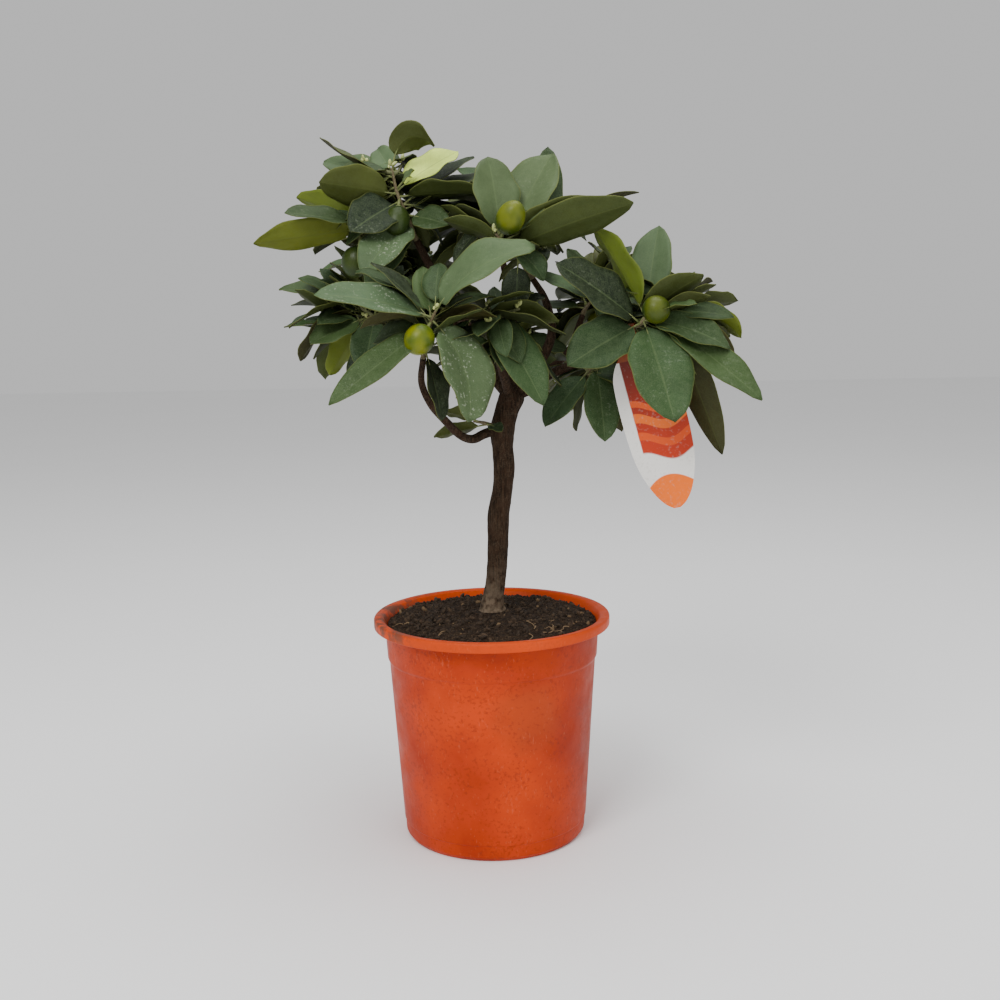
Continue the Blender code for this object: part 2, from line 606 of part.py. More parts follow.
def grow(mass, plan, taken):
    """Grows a mass's own twigs and leaves by its seeded rule, within its space."""
    growth = plan[mass.name]
    rule = random.Random(mass.seed)
    low, high = mass.heading_range
    outward = (low + high) / 2
    for number in range(mass.shoots):
        heading = low + (high - low) * (number + rule.uniform(0.2, 0.8)) / mass.shoots
        rise = rule.uniform(*mass.rise_range)
        start = point_along(growth.stems[0], rule.uniform(0.5, 0.95))
        half = rule.uniform(*SHOOT_LENGTH) / 2
        middle = start + heading_vector(heading, rise) * half
        end = middle + heading_vector(heading + rule.uniform(-20, 20), rise + 15) * half
        free = twig_solid([start.lerp(middle, 0.4), middle, end], 2.4, 1.9, 3)
        spin = rule.uniform(0, 360)
        shoot = twig_solid([start, middle, end], SHOOT_RADIUS, TWIG_TIP_RADIUS, 3)
        if taken.blocks(mass.name, (shoot, free), free):
            continue
        growth.stems.append([start, middle, end])
        growth.solids.append(shoot)
        taken.add(mass.name, shoot, free)
        for place in SHOOT_NODES:
            spin += GOLDEN_ANGLE
            length = rule.uniform(*GROWN_LEAF_LENGTH)
            off = ((spin - outward + 180) % 360 - 180) * SPREAD
            leaf = Leaf(len(growth.stems) - 1, place, outward + off, rule.uniform(-40, 30), length,
                        length * GROWN_LEAF_WIDTH * rule.uniform(0.9, 1.1), rule.uniform(-25, 25),
                        rule.uniform(5, 40))
            if inside(mass, leaf_solid(leaf, point_along(growth.stems[leaf.stem], place))[0]):
                add_leaf(leaf, mass.name, plan, taken)


def fuse(name, solids, material, collection):
    """One closed mesh: the solids joined by a Boolean union on a collection."""
    joining = add_collection(name + "_joining")
    pieces = [add_mesh(f"{name}_{i}", *solid, material, joining) for i, solid in enumerate(solids)]
    for piece in pieces:
        triangulate = bmesh.new()
        triangulate.from_mesh(piece.data)
        bmesh.ops.triangulate(triangulate, faces=triangulate.faces)
        bmesh.ops.recalc_face_normals(triangulate, faces=triangulate.faces)
        triangulate.to_mesh(piece.data)
        triangulate.free()
    whole = pieces[0]
    joining.objects.unlink(whole)
    collection.objects.link(whole)
    whole.name = name
    union = whole.modifiers.new("join", "BOOLEAN")
    union.operation = "UNION"
    union.operand_type = "COLLECTION"
    union.collection = joining
    bpy.context.view_layer.update()
    mesh = bpy.data.meshes.new_from_object(whole.evaluated_get(bpy.context.evaluated_depsgraph_get()))
    whole.modifiers.clear()
    whole.data = mesh
    mesh.name = name
    for piece in pieces[1:]:
        bpy.data.objects.remove(piece)
    bpy.data.collections.remove(joining)
    keep_largest_body(mesh)
    return whole


def keep_largest_body(mesh):
    """Drops loose scraps and sealed hollows that a union leaves."""
    body = bmesh.new()
    body.from_mesh(mesh)
    bmesh.ops.remove_doubles(body, verts=body.verts, dist=0.002 * MM)
    bmesh.ops.dissolve_degenerate(body, edges=body.edges, dist=0.001 * MM)
    bmesh.ops.triangulate(body, faces=body.faces)
    unseen = set(body.faces)
    groups = []
    while unseen:
        group = [unseen.pop()]
        for face in group:
            for edge in face.edges:
                for other in edge.link_faces:
                    if other in unseen:
                        unseen.remove(other)
                        group.append(other)
        groups.append(group)
    groups.sort(key=len)
    scraps = [face for group in groups[:-1] for face in group]
    bmesh.ops.delete(body, geom=scraps, context="FACES")
    body.to_mesh(mesh)
    body.free()


def make_foliage(limbs, material, collection):
    taken = Taken()
    for limb in limbs:
        corners = [vertex.co / MM for vertex in limb.data.vertices]
        taken.add(limb.name, (corners, [tuple(face.vertices) for face in limb.data.polygons]))
    taken.add("label", label_solid())
    plan = plan_foliage(taken)
    for mass in MASSES:
        whole = fuse(mass.name, plan[mass.name].solids, material, collection)
        whole.data.shade_smooth()
        whole.data.set_sharp_from_angle(angle=math.radians(50))
    return plan


def label_solid():
    """Corners and faces of the label's strip: up its back tab, over the twig and down its front."""
    down = Vector(LABEL_DOWN).normalized()
    across = Vector(LABEL_ACROSS)
    across = (across - down * across.dot(down)).normalized()
    front = across.cross(down)
    if front.y > 0:
        front = -front
    centre = Vector(LABEL_LOOP_CENTRE)
    path = [(-0.8, LABEL_TAB, 5.0), (-0.9, 7.0, 5.0)]
    for angle in range(-20, 201, 44):
        path.append((-math.cos(math.radians(angle)) * LABEL_LOOP_RADIUS,
                     -math.sin(math.radians(angle)) * LABEL_LOOP_RADIUS, 5.0))
    path += [(0.8, depth, half) for depth, half in LABEL_OUTLINE]
    vertices = []
    for i, (out, depth, half) in enumerate(path):
        before = path[max(i - 1, 0)]
        after = path[min(i + 1, len(path) - 1)]
        run = front * (after[0] - before[0]) + down * (after[1] - before[1])
        normal = across.cross(run).normalized()
        middle = centre + front * out + down * depth
        for sign, edge in ((1, -1), (1, 1), (-1, 1), (-1, -1)):
            vertices.append(middle + normal * sign * LABEL_THICKNESS / 2 + across * edge * half)
    faces = [(0, 1, 2, 3), tuple(range(len(vertices) - 1, len(vertices) - 5, -1))]
    for ring in range(len(path) - 1):
        for corner in range(4):
            a = 4 * ring + corner
            b = 4 * ring + (corner + 1) % 4
            faces.append((b, a, a + 4, b + 4))
    return vertices, faces


def make_label(material, collection):
    label = add_mesh("label", *label_solid(), material, collection)
    shape = bmesh.new()
    shape.from_mesh(label.data)
    bmesh.ops.recalc_face_normals(shape, faces=shape.faces)
    shape.to_mesh(label.data)
    shape.free()
    label.data.shade_smooth()
    label.data.set_sharp_from_angle(angle=math.radians(30))


def main():
    clear_scene()
    parts = add_collection("potted_kumquat_tree")
    cutters = add_collection("cutters")
    pot_orange = add_material("orange plastic", (0.72, 0.08, 0.012), 0.38)
    compost = add_material("compost", (0.035, 0.020, 0.012), 0.95)
    bark = add_material("bark", (0.075, 0.045, 0.028), 0.9)
    leaf_green = add_material("leaf", (0.055, 0.12, 0.05), 0.5)
    label_white = add_material("label plastic", (0.85, 0.83, 0.78), 0.35)
    make_pot(pot_orange, parts, cutters)
    make_soil(compost, parts)
    limbs = make_limbs(bark, parts, cutters)
    make_label(label_white, parts)
    plan = make_foliage(limbs, leaf_green, parts)
    return plan


PLAN = main()
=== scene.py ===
"""Dressed view of the potted kumquat tree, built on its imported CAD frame.

Lengths are in millimetres and angles in degrees, and meshes are in metres. The tree grows by the same
named sizes and the same rule as its solids, and is then carried on to finer twigs and smaller leaves.
"""
import math
import random
from collections import namedtuple

import bmesh
import bpy
from mathutils import Matrix, Quaternion, Vector, noise
from mathutils.bvhtree import BVHTree


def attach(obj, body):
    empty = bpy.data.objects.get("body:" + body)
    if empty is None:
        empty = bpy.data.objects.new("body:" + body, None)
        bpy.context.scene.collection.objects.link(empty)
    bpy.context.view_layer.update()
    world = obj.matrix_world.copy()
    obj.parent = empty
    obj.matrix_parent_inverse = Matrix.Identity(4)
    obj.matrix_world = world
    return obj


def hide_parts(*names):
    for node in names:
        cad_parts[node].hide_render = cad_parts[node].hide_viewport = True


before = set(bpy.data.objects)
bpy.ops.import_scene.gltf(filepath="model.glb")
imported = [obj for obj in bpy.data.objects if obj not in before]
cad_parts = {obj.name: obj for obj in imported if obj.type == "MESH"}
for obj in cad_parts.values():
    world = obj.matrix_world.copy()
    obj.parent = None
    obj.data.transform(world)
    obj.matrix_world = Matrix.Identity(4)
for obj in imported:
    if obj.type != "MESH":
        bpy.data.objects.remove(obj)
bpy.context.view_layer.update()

MM = 0.001
GAP = 0.3
UP = Vector((0, 0, 1))

# Pot: a blow-moulded tub with a collar under its turned-over lip
POT_HEIGHT = 209.0
POT_RIM_RADIUS = 110.0
POT_BASE_RADIUS = 85.0
POT_WALL = 2.2
POT_FLOOR = 2.6
LIP_DEPTH = 9.0
COLLAR_TOP_RADIUS = 99.6
COLLAR_FOOT_RADIUS = 98.0
COLLAR_FOOT = 171.0
WALL_TOP_RADIUS = 96.4
FOOT_LINE = 15.0
DRAIN_HOLES = 8
DRAIN_HOLE_RADIUS = 4.5
DRAIN_CIRCLE_RADIUS = 66.0
POT_ROUNDING = 0.9
POT_TURNS = 144

# Compost: heaped a little round the stem
SOIL_PATCH_RADIUS = 15.0
SOIL_TOP = 211.5
SOIL_EDGE_TOP = 204.0
SOIL_RADIUS = COLLAR_TOP_RADIUS - POT_WALL - GAP
SOIL_RINGS = 46
SOIL_TURNS = 160
SOIL_DROP = 3.2
SOIL_SEED = 4
CRUMBS = 1500
CRUMB_SIZES = (0.5, 0.7, 0.9, 1.2, 1.6, 2.6)
CRUMB_SHADES = (0.6, 0.8, 1.0, 1.0, 1.3, 2.0)
THREADS = [(38, -62, 20, 34), (46, -70, 65, 26), (56, -58, 150, 30), (62, -66, 95, 22),  # x, y, heading, length
           (70, -48, 120, 24), (33, -74, 330, 22), (-40, -60, 200, 18), (-75, -30, 80, 20)]
THREAD_RADII = (0.5, 0.2)
THREAD_TURN = 70

# Limbs: points along the middle of each limb, and its radius at those points
TRUNK_PATH = [(1, 0, SOIL_TOP + GAP), (1, 0, 217), (2, 0, 226), (5, 0, 245), (7, 0, 274), (8, 0, 302), (12, 0, 325),
              (14, 0, 348), (13, 0, 365), (13, 0, 381), (17, 0, 398), (22, 0, 410), (24, 0, 416), (25, 0, 419)]
TRUNK_RADII = [13.5, 11.6, 10.0, 9.5, 9.9, 10.4, 9.6, 10.2, 10.2, 11.6, 11.0, 11.8, 9.5, 4.5]

Limb = namedtuple("Limb", "name path start_radius end_radius")
BOUGHS = [
    Limb("bough_low_left_lower", [(10, 0, 382), (-4, -6, 378), (-14, -18, 375), (-25, -30, 380), (-36, -44, 393)],
         4.8, 3.6),
    Limb("bough_low_left_upper", [(-36, -44, 393), (-49, -56, 410), (-56, -68, 430), (-53, -86, 452)], 3.6, 2.7),
    Limb("bough_left", [(22, 0, 410), (2, 8, 436), (-22, 6, 484), (-46, -8, 524), (-60, -18, 552)], 6.4, 3.2),
    Limb("bough_left_side", [(-20, 6, 480), (-46, 12, 492), (-72, 15, 492), (-88, 15, 488)], 3.6, 2.6),
    Limb("bough_centre", [(24, 0, 412), (45, -6, 438), (58, -18, 467), (53, -30, 497), (41, -44, 517)], 5.6, 2.7),
    Limb("bough_front", [(20, -2, 412), (14, -26, 436), (7, -46, 462), (5, -56, 474)], 4.6, 2.7),
    Limb("bough_right_low", [(24, 0, 411), (44, -2, 417), (61, -8, 409), (77, -14, 417), (87, -18, 428)], 4.4, 2.6),
    Limb("bough_right", [(24, 0, 414), (52, 6, 428), (88, -22, 446), (112, -52, 464), (118, -59, 468)], 5.0, 2.8),
    Limb("bough_back_left", [(20, 0, 410), (0, 32, 442), (-32, 62, 478), (-54, 78, 502)], 5.2, 2.8),
    Limb("bough_back_right", [(24, 0, 412), (44, 36, 424), (76, 66, 446), (92, 78, 482)], 5.2, 2.8),
    Limb("bough_back", [(23, 0, 412), (26, 30, 458), (20, 46, 510), (14, 48, 546)], 5.4, 2.8),
    Limb("bough_back_low", [(26, 28, 455), (22, 60, 452), (18, 86, 456)], 3.2, 2.5),
]
LIMB_STEPS = 3

# Foliage. Headings turn from +X through +Y, so 270 points at the viewer; a rise is measured from the level.
# A leaf runs from its twig to its tip along heading and rise. turn rolls it about that line, arch is how far
# it bends over along its length, and bend is its sideways curve as a share of its length.
# stem and at say which stem of the mass bears it, and how far along.
Leaf = namedtuple("Leaf", "stem at heading rise length width turn arch bend", defaults=(0, 20, 0))
Fruit = namedtuple("Fruit", "stem at heading rise stalk length width")
Mass = namedtuple("Mass", "name stems leaves fruits shoots heading_range rise_range seed centre reach")
Growth = namedtuple("Growth", "stems leaves fruits")
PETIOLE = 9.0
LEAF_THICKNESS = 1.5
LEAF_FOLD = 14.0
LEAF_BELLY = 0.46
BLADE_STATIONS = (0.15, 0.38, 0.62, 0.84)
GROWN_LEAF_LENGTH = (62.0, 92.0)
GROWN_LEAF_WIDTH = 0.42
LEAF_CLEARANCE = 1.2
GOLDEN_ANGLE = 137.5
STEM_RADIUS = 2.5
STEM_LEAD = 4.0
SIDE_STEM_RADIUS = 1.7
SHOOT_RADIUS = 1.4
SHOOT_ROOM = (2.4, 1.9)
TWIG_TIP_RADIUS = 1.1
FRUIT_STALK_RADIUS = 0.9
SHOOT_LENGTH = (22.0, 42.0)
SHOOT_NODES = (0.35, 0.6, 0.8, 0.95)
SPREAD = 0.62

MASSES = [
    Mass("foliage_top_left",
         [[(-60, -18, 552), (-68, -24, 574), (-75, -30, 592), (-79, -31, 613)],
          [(-71, -27, 583), (-88, -29, 572), (-108, -30, 561)]],
         [Leaf(0, 0.96, 334, 24, 46, 28, -62, 100, 0.34),
          Leaf(0, 0.88, 159, 28, 80, 24, 10, -25),
          Leaf(0, 0.80, 143, 16, 88, 32, -35, 10),
          Leaf(0, 0.95, 112, 30, 48, 24, -40, 5),
          Leaf(0, 0.66, 207, 7, 72, 38, 60, 0),
          Leaf(1, 0.90, 161, 24, 71, 34, 45, 10),
          Leaf(1, 0.96, 200, -7, 96, 31, 55, 5),
          Leaf(0, 0.56, 220, -27, 60, 42, -45, 20),
          Leaf(0, 0.22, 237, -33, 80, 42, -25, 45),
          Leaf(0, 0.10, 228, -43, 75, 34, -10, 30),
          Leaf(0, 0.36, 326, -13, 47, 28, 45, 15),
          Leaf(0, 0.72, 334, 41, 24, 14, 40, 10),
          Leaf(0, 0.62, 338, -1, 85, 34, -25, 15),
          Leaf(0, 0.70, 24, 31, 68, 38, 30, 15),
          Leaf(0, 0.44, 22, 21, 98, 34, 10, 10),
          Leaf(0, 0.50, 29, 31, 84, 32, 10, 10)],
         [Fruit(0, 0.60, 261, -60, 10, 29, 22), Fruit(1, 0.96, 216, -75, 16, 28, 25)],
         3, (60, 170), (-10, 35), 11, (-100, -10, 585), (125, 95, 62)),
    Mass("foliage_left",
         [[(-88, 15, 488), (-98, 15, 487), (-112, 16, 484)]],
         [Leaf(0, 0.90, 209, -22, 60, 34, -30, 15),
          Leaf(0, 0.95, 180, -56, 62, 30, 50, 10),
          Leaf(0, 0.55, 260, -47, 68, 34, -10, 15),
          Leaf(0, 0.40, 237, -59, 80, 28, -10, 10)],
         [Fruit(0, 0.70, 120, -60, 12, 27, 24)],
         6, (95, 200), (-35, 35), 23, (-125, 40, 490), (85, 85, 85)),
    Mass("foliage_front_left",
         [[(-53, -86, 452), (-50, -95, 466), (-44, -105, 484), (-40, -108, 492)]],
         [Leaf(0, 0.96, 348, 31, 98, 50, 40, 60),
          Leaf(0, 0.80, 320, -65, 91, 50, 15, 20, -0.12),
          Leaf(0, 0.84, 194, 12, 99, 38, -35, 25),
          Leaf(0, 0.70, 211, -33, 112, 28, -35, 5),
          Leaf(0, 0.20, 340, -77, 62, 28, 10, 10)],
         [Fruit(0, 0.76, 229, -43, 8, 27, 25)],
         2, (30, 120), (20, 50), 37, (-70, -95, 490), (100, 70, 60)),
    Mass("foliage_low_left",
         [[(9.6, -11.3, 384), (6, -19, 386), (-3, -25, 390), (-13, -27, 392)]],
         [Leaf(0, 0.80, 211, 19, 38, 20, 35, 15), Leaf(0, 0.60, 300, -10, 28, 13, 20, 20)],
         [], 0, (0, 0), (0, 0), 41, (-25, -30, 390), (50, 50, 40)),
    Mass("foliage_centre",
         [[(41, -44, 517), (28, -60, 536), (15, -74, 548), (10, -77, 554)],
          [(33, -54, 529), (48, -40, 540), (62, -24, 552)]],
         [Leaf(0, 0.90, 112, 70, 74, 42, 0, 20),
          Leaf(0, 0.74, 40, 56, 94, 56, 15, 15),
          Leaf(0, 0.84, 352, 15, 98, 36, -50, 45),
          Leaf(0, 0.68, 340, 17, 113, 38, -50, 15),
          Leaf(1, 0.95, 12, 27, 88, 26, -15, 35),
          Leaf(1, 0.60, 80, 66, 98, 30, 10, 10),
          Leaf(0, 0.66, 332, -41, 42, 24, 30, 60),
          Leaf(0, 0.44, 256, -76, 48, 26, 0, 10),
          Leaf(0, 0.15, 332, -22, 67, 16, 30, 15)],
         [Fruit(0, 0.90, 307, 48, 8, 31, 24)],
         3, (100, 200), (5, 45), 53, (20, -50, 560), (80, 70, 60)),
    Mass("foliage_front",
         [[(5, -56, 474), (4, -64, 484), (3, -72, 493)]],
         [Leaf(0, 0.90, 323, -55, 97, 40, 30, 15),
          Leaf(0, 0.72, 336, -58, 46, 18, 20, 15),
          Leaf(0, 0.50, 17, -44, 88, 36, 20, 15)],
         [], 3, (200, 340), (-45, 20), 61, (10, -70, 480), (75, 60, 60)),
    Mass("foliage_right",
         [[(118, -59, 468), (126, -65, 473), (133, -70, 478), (137, -71, 485)],
          [(132, -69, 477), (145, -69, 480), (159, -65, 486), (167, -61, 489)]],
         [Leaf(0, 0.92, 174, 60, 90, 40, 25, 10),
          Leaf(0, 0.95, 62, 68, 82, 38, 0, 10),
          Leaf(0, 0.66, 199, 34, 92, 42, -58, 15),
          Leaf(0, 0.60, 198, -24, 74, 46, -50, 15),
          Leaf(0, 0.80, 298, -61, 96, 54, 20, 20),
          Leaf(1, 0.45, 333, -37, 113, 34, 42, 10),
          Leaf(1, 0.66, 8, -68, 132, 30, -60, 5),
          Leaf(1, 0.64, 29, 30, 56, 26, -25, 30),
          Leaf(1, 0.95, 0, -25, 60, 26, -35, 70),
          Leaf(1, 0.75, 8, -33, 67, 24, -40, 20),
          Leaf(1, 0.84, 48, -20, 72, 26, 25, 20)],
         [Fruit(1, 0.60, 237, 16, 8, 24, 24)],
         4, (30, 110), (-20, 20), 71, (160, -50, 480), (95, 75, 62)),
    Mass("foliage_right_low",
         [[(87, -18, 428), (92, -20, 436), (98, -21, 444)]],
         [Leaf(0, 0.50, 208, -46, 68, 32, -25, 10),
          Leaf(0, 0.95, 283, -70, 74, 34, 0, 10),
          Leaf(0, 0.78, 153, -74, 63, 26, 0, 10),
          Leaf(0, 0.70, 25, -64, 68, 26, -40, 10)],
         [], 5, (0, 110), (-50, 20), 83, (110, 0, 425), (75, 75, 60)),
    Mass("foliage_back_left",
         [[(-54, 78, 502), (-62, 84, 510), (-72, 90, 520)]],
         [], [Fruit(0, 0.70, 100, -50, 12, 28, 24)],
         10, (60, 240), (-45, 60), 97, (-88, 102, 510), (105, 92, 98)),
    Mass("foliage_back_right",
         [[(92, 78, 482), (98, 83, 492), (108, 88, 502)]],
         [], [Fruit(0, 0.70, 60, -50, 12, 28, 24)],
         11, (-40, 130), (-45, 55), 101, (125, 100, 480), (98, 95, 92)),
    Mass("foliage_back_top",
         [[(14, 48, 546), (11, 50, 560), (9, 51, 574)]],
         [], [Fruit(0, 0.60, 80, -40, 12, 28, 24)],
         10, (-60, 220), (-5, 60), 113, (10, 66, 572), (105, 88, 62)),
    Mass("foliage_back_low",
         [[(18, 86, 456), (17, 94, 460), (16, 104, 464)]],
         [], [Fruit(0, 0.75, 40, -60, 12, 26, 23)],
         9, (20, 160), (-60, 25), 127, (18, 122, 448), (98, 84, 80)),
]

# Label: a plastic strip looped over the twig that bears it, hanging with its face to the viewer
LABEL_LOOP_CENTRE = (124.0, -63.5, 471.8)
LABEL_DOWN = (0.26, 0.02, -0.97)
LABEL_ACROSS = (0.90, -0.34, 0.24)
LABEL_THICKNESS = 0.8
LABEL_LOOP_RADIUS = 5.0
LABEL_TAB = 16.0
LABEL_NECK = 5.0
LABEL_BOW = 1.6
LABEL_COLUMNS = 8
LABEL_OUTLINE = [(6, 5), (14, 8), (22, 17), (32, 24), (46, 28), (80, 29), (110, 27.5), (128, 24), (145, 17.5),
                 (156, 10), (161, 3)]

# Looks: each leaf's tone by mass, in the order of its leaves; the tones are mostly painted light and shade, from
# painted sunlight (l) down to painted deep shade (k), and grown leaves draw theirs from the grown tones, which lean
# to painted shade
TONES = {
    "foliage_top_left": "modddyykdggdmlkk", "foliage_left": "mygk", "foliage_front_left": "dddmk",
    "foliage_low_left": "gg", "foliage_centre": "ddmmoggkd", "foliage_front": "mgk",
    "foliage_right": "bdkmmmoobog", "foliage_right_low": "gmko",
}
# Grown leaves inside the crown: mostly the darker tones, painted shade
GROWN_SHADED_TONES = "mmggggkkko"
# Painted light and shade: d, m, g and k are one green at falling brightness, and l is a painted sunlit leaf
LIT_AND_SHADED_LEAF_COLORS = {  # upper side, under side
    "d": ((0.066, 0.108, 0.044), (0.050, 0.064, 0.010)),
    "m": ((0.032, 0.064, 0.018), (0.042, 0.054, 0.008)),
    "g": ((0.022, 0.046, 0.014), (0.036, 0.047, 0.008)),
    "k": ((0.008, 0.015, 0.006), (0.018, 0.023, 0.005)),
    "y": ((0.150, 0.210, 0.026), (0.110, 0.140, 0.009)),
    "b": ((0.042, 0.080, 0.027), (0.095, 0.128, 0.010)),
    "l": ((0.560, 0.700, 0.120), (0.330, 0.420, 0.060)),
    "o": ((0.060, 0.070, 0.018), (0.036, 0.034, 0.008)),
}
TONE_SPREAD = 0.16
WARMTH_SPREAD = 0.08
TONE_SEED = 900
FLECKED = {"foliage_top_left": (8,), "foliage_front_left": (1, 2)}
FLECKS = 0.45
STRAY_FLECKS = 0.12
FRUIT_TONES = {  # green, and how much of it has turned yellow
    "foliage_top_left": [(0.012, 0.030, 0.006, 0.06), (0.012, 0.030, 0.006, 0.10)],
    "foliage_front_left": [(0.060, 0.095, 0.004, 0.95)],
    "foliage_centre": [(0.022, 0.052, 0.006, 0.55)],
    "foliage_right": [(0.014, 0.036, 0.005, 0.30)],
}
HIDDEN_FRUIT = (0.020, 0.046, 0.006)
PETIOLE_TINT = (0.13, 0.16, 0.045, 0)
STEM_TINT = (0.10, 0.075, 0.035, 0)
SHOOT_TINT = (0.085, 0.10, 0.035, 0)
STALK_TINT = (0.14, 0.17, 0.05, 0)
BUD_TINT = (0.42, 0.47, 0.16, 0)
CALYX_TINT = (0.12, 0.16, 0.04, 0)
THREAD_TINT = (0.20, 0.13, 0.07, 0)
DARK_CRUMB = (0.026, 0.015, 0.008)
PALE_CRUMB = (0.16, 0.10, 0.05)
PALE_SHARE = 0.05
FADED_SPOT = (0.034, -0.090, 0.135)
LABEL_WAVES = [(0.42, 0.016, (0.70, 0.085, 0.006)), (0.50, 0.024, (0.74, 0.13, 0.010)),  # middle, half width, tone
               (0.60, 0.020, (0.66, 0.07, 0.005))]

# Leaf blades, with a ripple and a wave along the margin and a rib below the middle
BLADE = 0.45
BLADE_GRID = (8, 16)
BLADE_END_HALF = 0.35
BLADE_TWIST = 0.12
FULLNESS = 0.72
RIPPLES = 19.0
RIPPLE_DEPTH = 0.025
MARGIN_WAVE = (0.02, 0.055)
RIB = 0.45
LARGE_LEAF = 75
PETIOLE_RADII = (1.1, 0.55)

# Smaller leaves carried on from the twigs, and a leaf that only has room beside thin blades
LATE_LEAVES = {"foliage_right": [Leaf(0, 0.70, 198, -27, 76, 46, -50, 15)]}
FINE_GRID = (4, 8)
FINE_TRIES = 420
BARE_STEM_TRIES = 8
FRONT_HEADINGS = (180, 360)
FINE_SEED = 500
FINE_LENGTH = (50.0, 80.0)
FINE_WIDTH = (0.36, 0.48)
FINE_RISE = (-55, 60)
FINE_SPREAD = 110
FINE_TURN = 40
FINE_ARCH = (5, 50)
FINE_CLEARANCE = 0.5
FINE_SHARE = 0.86

# Buds, stalks and bark
BUDS = 3
BUD_REACH = 2.6
STALK_RADII = (1.3, 1.6)
CALYX_SIZE = (3.2, 8.5)
BARK_SIDES = 40
BOUGH_SIDES = 20
TRUNK_FURROWS = 0.14
BOUGH_FURROWS = 0.12

# Room light, and the camera as it stood for the photo, in metres
ROOM_LIGHT = 0.62
PHOTO_FOCAL = 1315.0
PHOTO_SIZE = 1000.0
CAMERA_PLACE = (0.0096, -1.2, 0.506)
CAMERA_PITCH = 9.0
CAMERA_ROLL = -1.0


def heading_vector(heading, rise):
    """The unit direction of a heading and a rise."""
    flat = math.cos(math.radians(rise))
    return Vector((flat * math.cos(math.radians(heading)), flat * math.sin(math.radians(heading)),
                   math.sin(math.radians(rise))))


def smooth_path(points, steps):
    """Points of a smooth curve through the given ones, with steps between each pair."""
    points = [Vector(p) for p in points]
    padded = [points[0] * 2 - points[1]] + points + [points[-1] * 2 - points[-2]]
    path = []
    for a, b, c, d in zip(padded, padded[1:], padded[2:], padded[3:]):
        for step in range(steps):
            t = step / steps
            path.append((b * 2 + (c - a) * t + (a * 2 - b * 5 + c * 4 - d) * t ** 2
                         + (b * 3 - a - c * 3 + d) * t ** 3) / 2)
    return path + [points[-1]]


def point_along(points, share):
    """The point at a share of a polyline's length."""
    points = [Vector(p) for p in points]
    spans = [(b - a).length for a, b in zip(points, points[1:])]
    left = share * sum(spans)
    for a, b, span in zip(points, points[1:], spans):
        if left <= span:
            return a.lerp(b, left / span)
        left -= span
    return points[-1]


def lead_on(path):
    """Two points that carry straight on from the end of a path, the first just clear of it."""
    run = (path[-1] - path[-2]).normalized()
    return [path[-1] + run * GAP, path[-1] + run * STEM_LEAD]


def limb_shape(limb):
    """Points along a bough and its radius at each of them."""
    path = smooth_path(limb.path, LIMB_STEPS)
    for lower in BOUGHS:
        if lower.path[-1] == limb.path[0]:
            path[:2] = lead_on(smooth_path(lower.path, LIMB_STEPS))
    last = len(path) - 1
    radii = [limb.start_radius + (limb.end_radius - limb.start_radius) * i / last for i in range(last + 1)]
    return path, radii


def pot_inner_wall():
    """Radius and height of the pot's inner wall, from its floor up to its mouth."""
    return [(POT_BASE_RADIUS - POT_WALL - 2, POT_FLOOR), (POT_BASE_RADIUS - POT_WALL, POT_FLOOR + 3),
            (WALL_TOP_RADIUS - POT_WALL, COLLAR_FOOT - 3), (COLLAR_FOOT_RADIUS - POT_WALL, COLLAR_FOOT + 1),
            (COLLAR_TOP_RADIUS - POT_WALL, POT_HEIGHT - 9)]


def pot_profile():
    """Radius and height round the pot's wall, from its floor over its lip and down to its foot."""
    lip_foot = POT_HEIGHT - LIP_DEPTH
    return [(0, POT_FLOOR), *pot_inner_wall(),
            (POT_RIM_RADIUS - 9, POT_HEIGHT - 1.6), (POT_RIM_RADIUS - 6, POT_HEIGHT),
            (POT_RIM_RADIUS - 1.4, POT_HEIGHT), (POT_RIM_RADIUS, POT_HEIGHT - 1.4),
            (POT_RIM_RADIUS, lip_foot), (POT_RIM_RADIUS - POT_WALL, lip_foot),
            (POT_RIM_RADIUS - POT_WALL, POT_HEIGHT - 3), (POT_RIM_RADIUS - 6, POT_HEIGHT - 3),
            (COLLAR_TOP_RADIUS, lip_foot - 2), (COLLAR_FOOT_RADIUS, COLLAR_FOOT),
            (WALL_TOP_RADIUS, COLLAR_FOOT - 2.5), (POT_BASE_RADIUS + 1.4, FOOT_LINE + 0.6),
            (POT_BASE_RADIUS + 0.6, FOOT_LINE), (POT_BASE_RADIUS, 4), (POT_BASE_RADIUS - 3, 0), (0, 0)]


def leaf_frame(leaf, share):
    """Offset from the leaf's root, run, upper normal and side at a share of its length."""
    chord = heading_vector(leaf.heading, leaf.rise)
    over = (UP - chord * chord.z).normalized()
    over.rotate(Quaternion(chord, math.radians(leaf.turn)))
    half = math.radians(leaf.arch or 1) / 2
    radius = leaf.length / (2 * math.sin(half))
    angle = half * (2 * share - 1)
    run = chord * math.cos(angle) - over * math.sin(angle)
    normal = over * math.cos(angle) + chord * math.sin(angle)
    side = run.cross(normal)
    offset = chord * radius * (math.sin(angle) + math.sin(half)) + over * radius * (math.cos(angle) - math.cos(half))
    offset += side * leaf.bend * leaf.length * 4 * share * (1 - share)
    swing = Quaternion(normal, -math.atan(4 * leaf.bend * (1 - 2 * share)))
    run.rotate(swing)
    side.rotate(swing)
    return offset, run, normal, side


def leaf_half_width(leaf, blade_share):
    """Half the blade's width: broadest at LEAF_BELLY, drawn in to both ends."""
    exponent = math.log(0.5) / math.log(LEAF_BELLY)
    return leaf.width / 2 * math.sin(math.pi * blade_share ** exponent) ** 0.85


def neighbours(rings, sides):
    """Each pair of neighbouring corners on every ring."""
    return [(sides * ring + corner, sides * ring + (corner + 1) % sides)
            for ring in range(rings) for corner in range(sides)]


